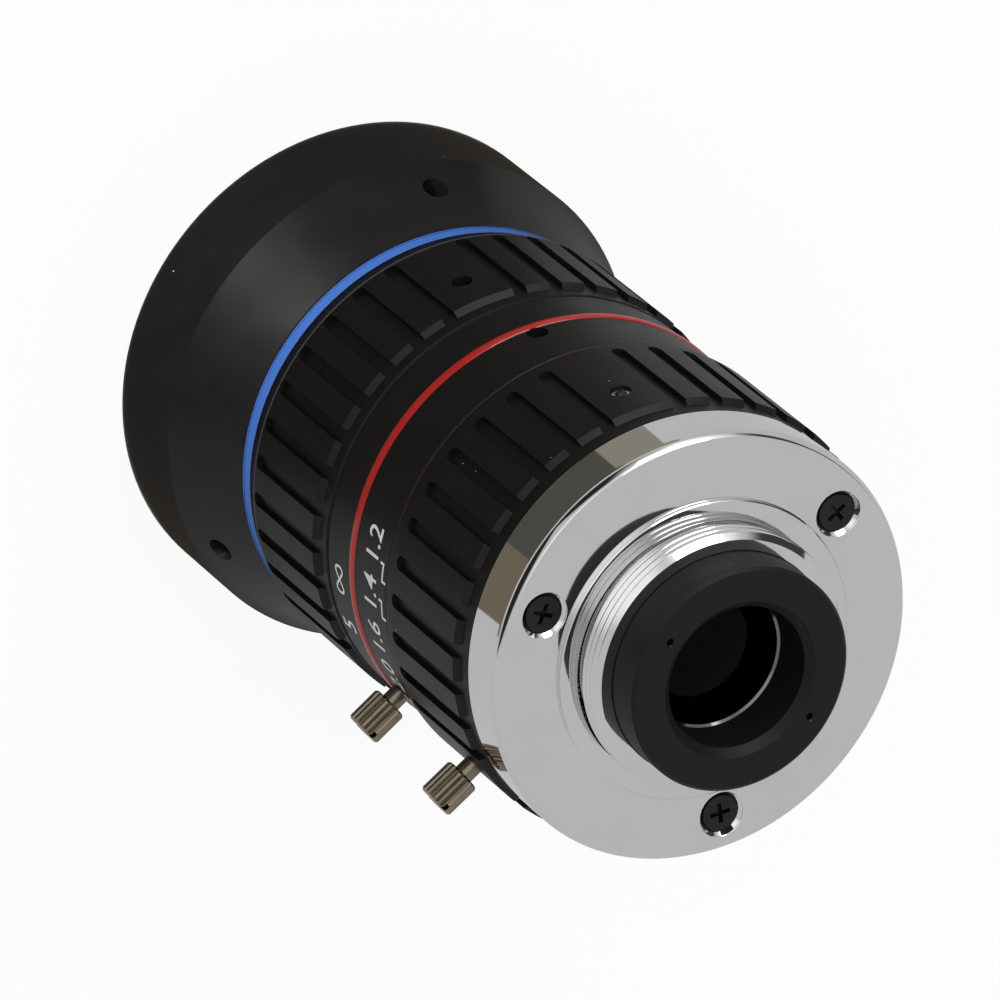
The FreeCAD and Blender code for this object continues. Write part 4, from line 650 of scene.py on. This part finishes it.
# Floor, world and lamps; millimetres, but metres for the floor's size and all of the lamps
studio = {
    "floorZ": -71.5, "floorSize": 40.0, "floorColour": (0.9, 0.9, 0.9, 1), "floorWhite": 0.9,
    "floorShine": 0.58, "footRadius": 24.0, "flagLift": 0.3,
    "flags": {  # first and last degree, inner and outer radius, colour
        # painted shade and painted reflections: cards seen only in shiny surfaces; the foot flag stands in
        # for the floor's shade beside the bell, the others for dark and brown surroundings
        "footFlag": (0, 360, 24.2, 34, (0.110, 0.094, 0.070, 1)),
        "nearFlag": (15, 150, 34, 57, (0.110, 0.094, 0.070, 1)),
        "brownFlag": (115, 146, 57, 600, (0.178, 0.151, 0.106, 1)),
        "darkFlag": (61, 115, 57, 600, (0.085, 0.083, 0.070, 1)),
        "paleFlag": (37, 61, 57, 600, (0.280, 0.270, 0.220, 1)),
    },
    "worldLevel": 0.6,
    "worldPatches": [  # azimuth, height, full within, gone beyond, change of level
        (40, 20, 10, 30, 0.7), (97, 50, 12, 30, 0.5), (70, -10, 28, 34, -0.58),
        (124, -10, 28, 34, -0.58), (345, -5, 22, 34, -0.55), (290, -20, 20, 45, -0.35),
    ],
    "lampAim": (0, 0, -0.03),
    "lamps": {
        "fillBox": {"azimuth": 97, "height": 60, "distance": 1.0, "size": 0.6, "power": 2.5,
                    "shine": False},
        "keyBox": {"azimuth": 40, "height": 28, "distance": 0.9, "size": 0.5, "power": 2.4,
                   "shine": True},
        "bellBox": {"azimuth": 95, "height": 3, "distance": 0.6, "size": 0.2, "power": 9.0,
                    "shine": True, "only": "front_bell"},
    },
}


def towards(azimuth, height):
    # direction = (cos a cos e, sin a cos e, sin e)
    a, e = math.radians(azimuth), math.radians(height)
    return Vector((math.cos(a) * math.cos(e), math.sin(a) * math.cos(e), math.sin(e)))


def stageMesh(name, points, faces):
    mesh = bpy.data.meshes.new(name)
    mesh.from_pydata(points, [], faces)
    thing = bpy.data.objects.new(name, mesh)
    scene.collection.objects.link(thing)
    made = bpy.data.materials.new(name)
    made.use_nodes = True
    made.node_tree.nodes.clear()
    mesh.materials.append(made)
    return thing, made.node_tree


def glowNode(tree, strength, colour=(1, 1, 1, 1)):
    glow = node(tree, "ShaderNodeEmission")
    glow.inputs["Color"].default_value = colour
    glow.inputs["Strength"].default_value = strength
    return glow.outputs[0]


def mixShaders(tree, share, first, second):
    mixed = node(tree, "ShaderNodeMixShader")
    for socket, source in zip(mixed.inputs, (share, first, second)):
        tree.links.new(source, socket)
    return mixed.outputs[0]


def makeFloor(values):
    # white for the camera and through glass, a little less in shiny metal, plain where the bell stands but
    # with a soft glow up into it; seen from below the floor isn't there
    half, height = values["floorSize"] / 2, values["floorZ"] * mm
    corners = [(x * half, y * half, height) for x, y in ((-1, -1), (1, -1), (1, 1), (-1, 1))]
    tree = stageMesh("studioFloor", corners, [(0, 1, 2, 3)])[1]
    diffuse = node(tree, "ShaderNodeBsdfDiffuse")
    diffuse.inputs[0].default_value = values["floorColour"]
    radius = radiusAndHeight(tree)[0]
    beside = mathNode(tree, "GREATER_THAN", radius, values["footRadius"])
    path = node(tree, "ShaderNodeLightPath")
    seen = mathNode(tree, "MAXIMUM", path.outputs["Is Camera Ray"], path.outputs["Is Transmission Ray"])
    white = mathNode(tree, "MULTIPLY", mathNode(tree, "MULTIPLY", seen, beside), values["floorWhite"])
    foot = mathNode(tree, "SUBTRACT", 1, beside)
    under = mathNode(tree, "MULTIPLY", path.outputs["Is Diffuse Ray"], foot)
    shine = mathNode(tree, "MAXIMUM", path.outputs["Is Glossy Ray"], under)
    mixed = mixShaders(tree, white, diffuse.outputs[0], glowNode(tree, 1.0))
    mixed = mixShaders(tree, shine, mixed, glowNode(tree, values["floorShine"]))
    below = node(tree, "ShaderNodeNewGeometry").outputs["Backfacing"]
    mixed = mixShaders(tree, below, mixed, node(tree, "ShaderNodeBsdfTransparent").outputs[0])
    tree.links.new(mixed, node(tree, "ShaderNodeOutputMaterial").inputs[0])


def makeFlag(name, values, sector):
    # a dark card flat on the floor, seen only in shiny surfaces, where it glows with its colour as a
    # painted reflection of dark surroundings; round the foot it is painted shade of the floor beside the
    # bell
    first, last, low, high, colour = sector
    height = values["floorZ"] + values["flagLift"]
    points = latheGrid([(low, height), (high, height)], np.arange(first, last + 1)) * mm
    flag, tree = stageMesh(name, points.tolist(), gridFaces(2, last - first + 1).tolist())
    glow = glowNode(tree, 1.0, colour)
    tree.links.new(glow, node(tree, "ShaderNodeOutputMaterial").inputs[0])
    flag.visible_camera = flag.visible_diffuse = flag.visible_transmission = flag.visible_shadow = False


def makeWorld(values):
    # an even level with brighter and darker patches round some directions, and white for the camera
    world = bpy.data.worlds.new("studioWorld")
    scene.world = world
    world.use_nodes = True
    tree = world.node_tree
    back = tree.nodes["Background"]
    place = node(tree, "ShaderNodeTexCoord")
    level = values["worldLevel"]
    for azimuth, height, near, far, change in values["worldPatches"]:
        facing = node(tree, "ShaderNodeVectorMath", operation="DOT_PRODUCT")
        tree.links.new(place.outputs["Generated"], facing.inputs[0])
        facing.inputs[1].default_value = towards(azimuth, height)
        patch = node(tree, "ShaderNodeMapRange", interpolation_type="SMOOTHSTEP")
        patch.inputs["From Min"].default_value = math.cos(math.radians(far))
        patch.inputs["From Max"].default_value = math.cos(math.radians(near))
        patch.inputs["To Max"].default_value = change
        tree.links.new(facing.outputs["Value"], patch.inputs["Value"])
        level = mathNode(tree, "ADD", patch.outputs[0], level)
    path = node(tree, "ShaderNodeLightPath")
    seen = mathNode(tree, "MAXIMUM", path.outputs["Is Camera Ray"], path.outputs["Is Transmission Ray"])
    tree.links.new(mathNode(tree, "MAXIMUM", level, seen), back.inputs["Strength"])
    back.inputs["Color"].default_value = (1, 1, 1, 1)


def makeLamp(name, values, middle):
    # a square lamp that looks at the middle; one with "only" lights just that piece
    data = bpy.data.lights.new(name, "AREA")
    data.shape = "SQUARE"
    data.size = values["size"]
    data.energy = values["power"]
    lamp = bpy.data.objects.new(name, data)
    scene.collection.objects.link(lamp)
    away = towards(values["azimuth"], values["height"])
    lamp.location = middle + away * values["distance"]
    lamp.rotation_euler = away.to_track_quat("Z", "Y").to_euler()
    lamp.visible_glossy = values["shine"]
    if "only" in values:
        lit = bpy.data.collections.new(name)
        lit.objects.link(frame["nodes"][values["only"]])
        lamp.light_linking.receiver_collection = lit


makeFloor(studio)
for name, sector in studio["flags"].items():
    makeFlag(name, studio, sector)
makeWorld(studio)
for name, values in studio["lamps"].items():
    makeLamp(name, values, Vector(studio["lampAim"]))
print("studio made")

# Camera, fitted to the circles of the lens in the photograph; focal and frameSize are in pixels
cameraView = {
    "right": (0.7103, -0.5375, 0.4546), "up": (0.7000, 0.6071, -0.3759),
    "middle": (0, 0, -1.336), "unit": 20.9, "offset": (0.8526, 0.6242, 53.3),
    "focal": 12365, "sensor": 36.0, "frameSize": 1000, "clip": (0.01, 100),
}


def makeCamera(values):
    # place = middle - unit * (x * across - y * above + z * ahead)
    right, up = Vector(values["right"]), Vector(values["up"])
    ahead = right.cross(up).normalized() * -1
    across = right.normalized()
    above = across.cross(-ahead) * -1
    x, y, z = values["offset"]
    place = Vector(values["middle"]) - values["unit"] * (x * across - y * above + z * ahead)
    data = bpy.data.cameras.new("photoCamera")
    data.lens = values["focal"] / values["frameSize"] * values["sensor"]
    data.sensor_width = values["sensor"]
    data.clip_start, data.clip_end = values["clip"]
    camera = bpy.data.objects.new("photoCamera", data)
    scene.collection.objects.link(camera)
    turned = Matrix((across, above, -ahead)).transposed().to_4x4()
    camera.matrix_world = Matrix.Translation(place * mm) @ turned
    scene.camera = camera


makeCamera(cameraView)
scene.view_settings.view_transform = "Standard"
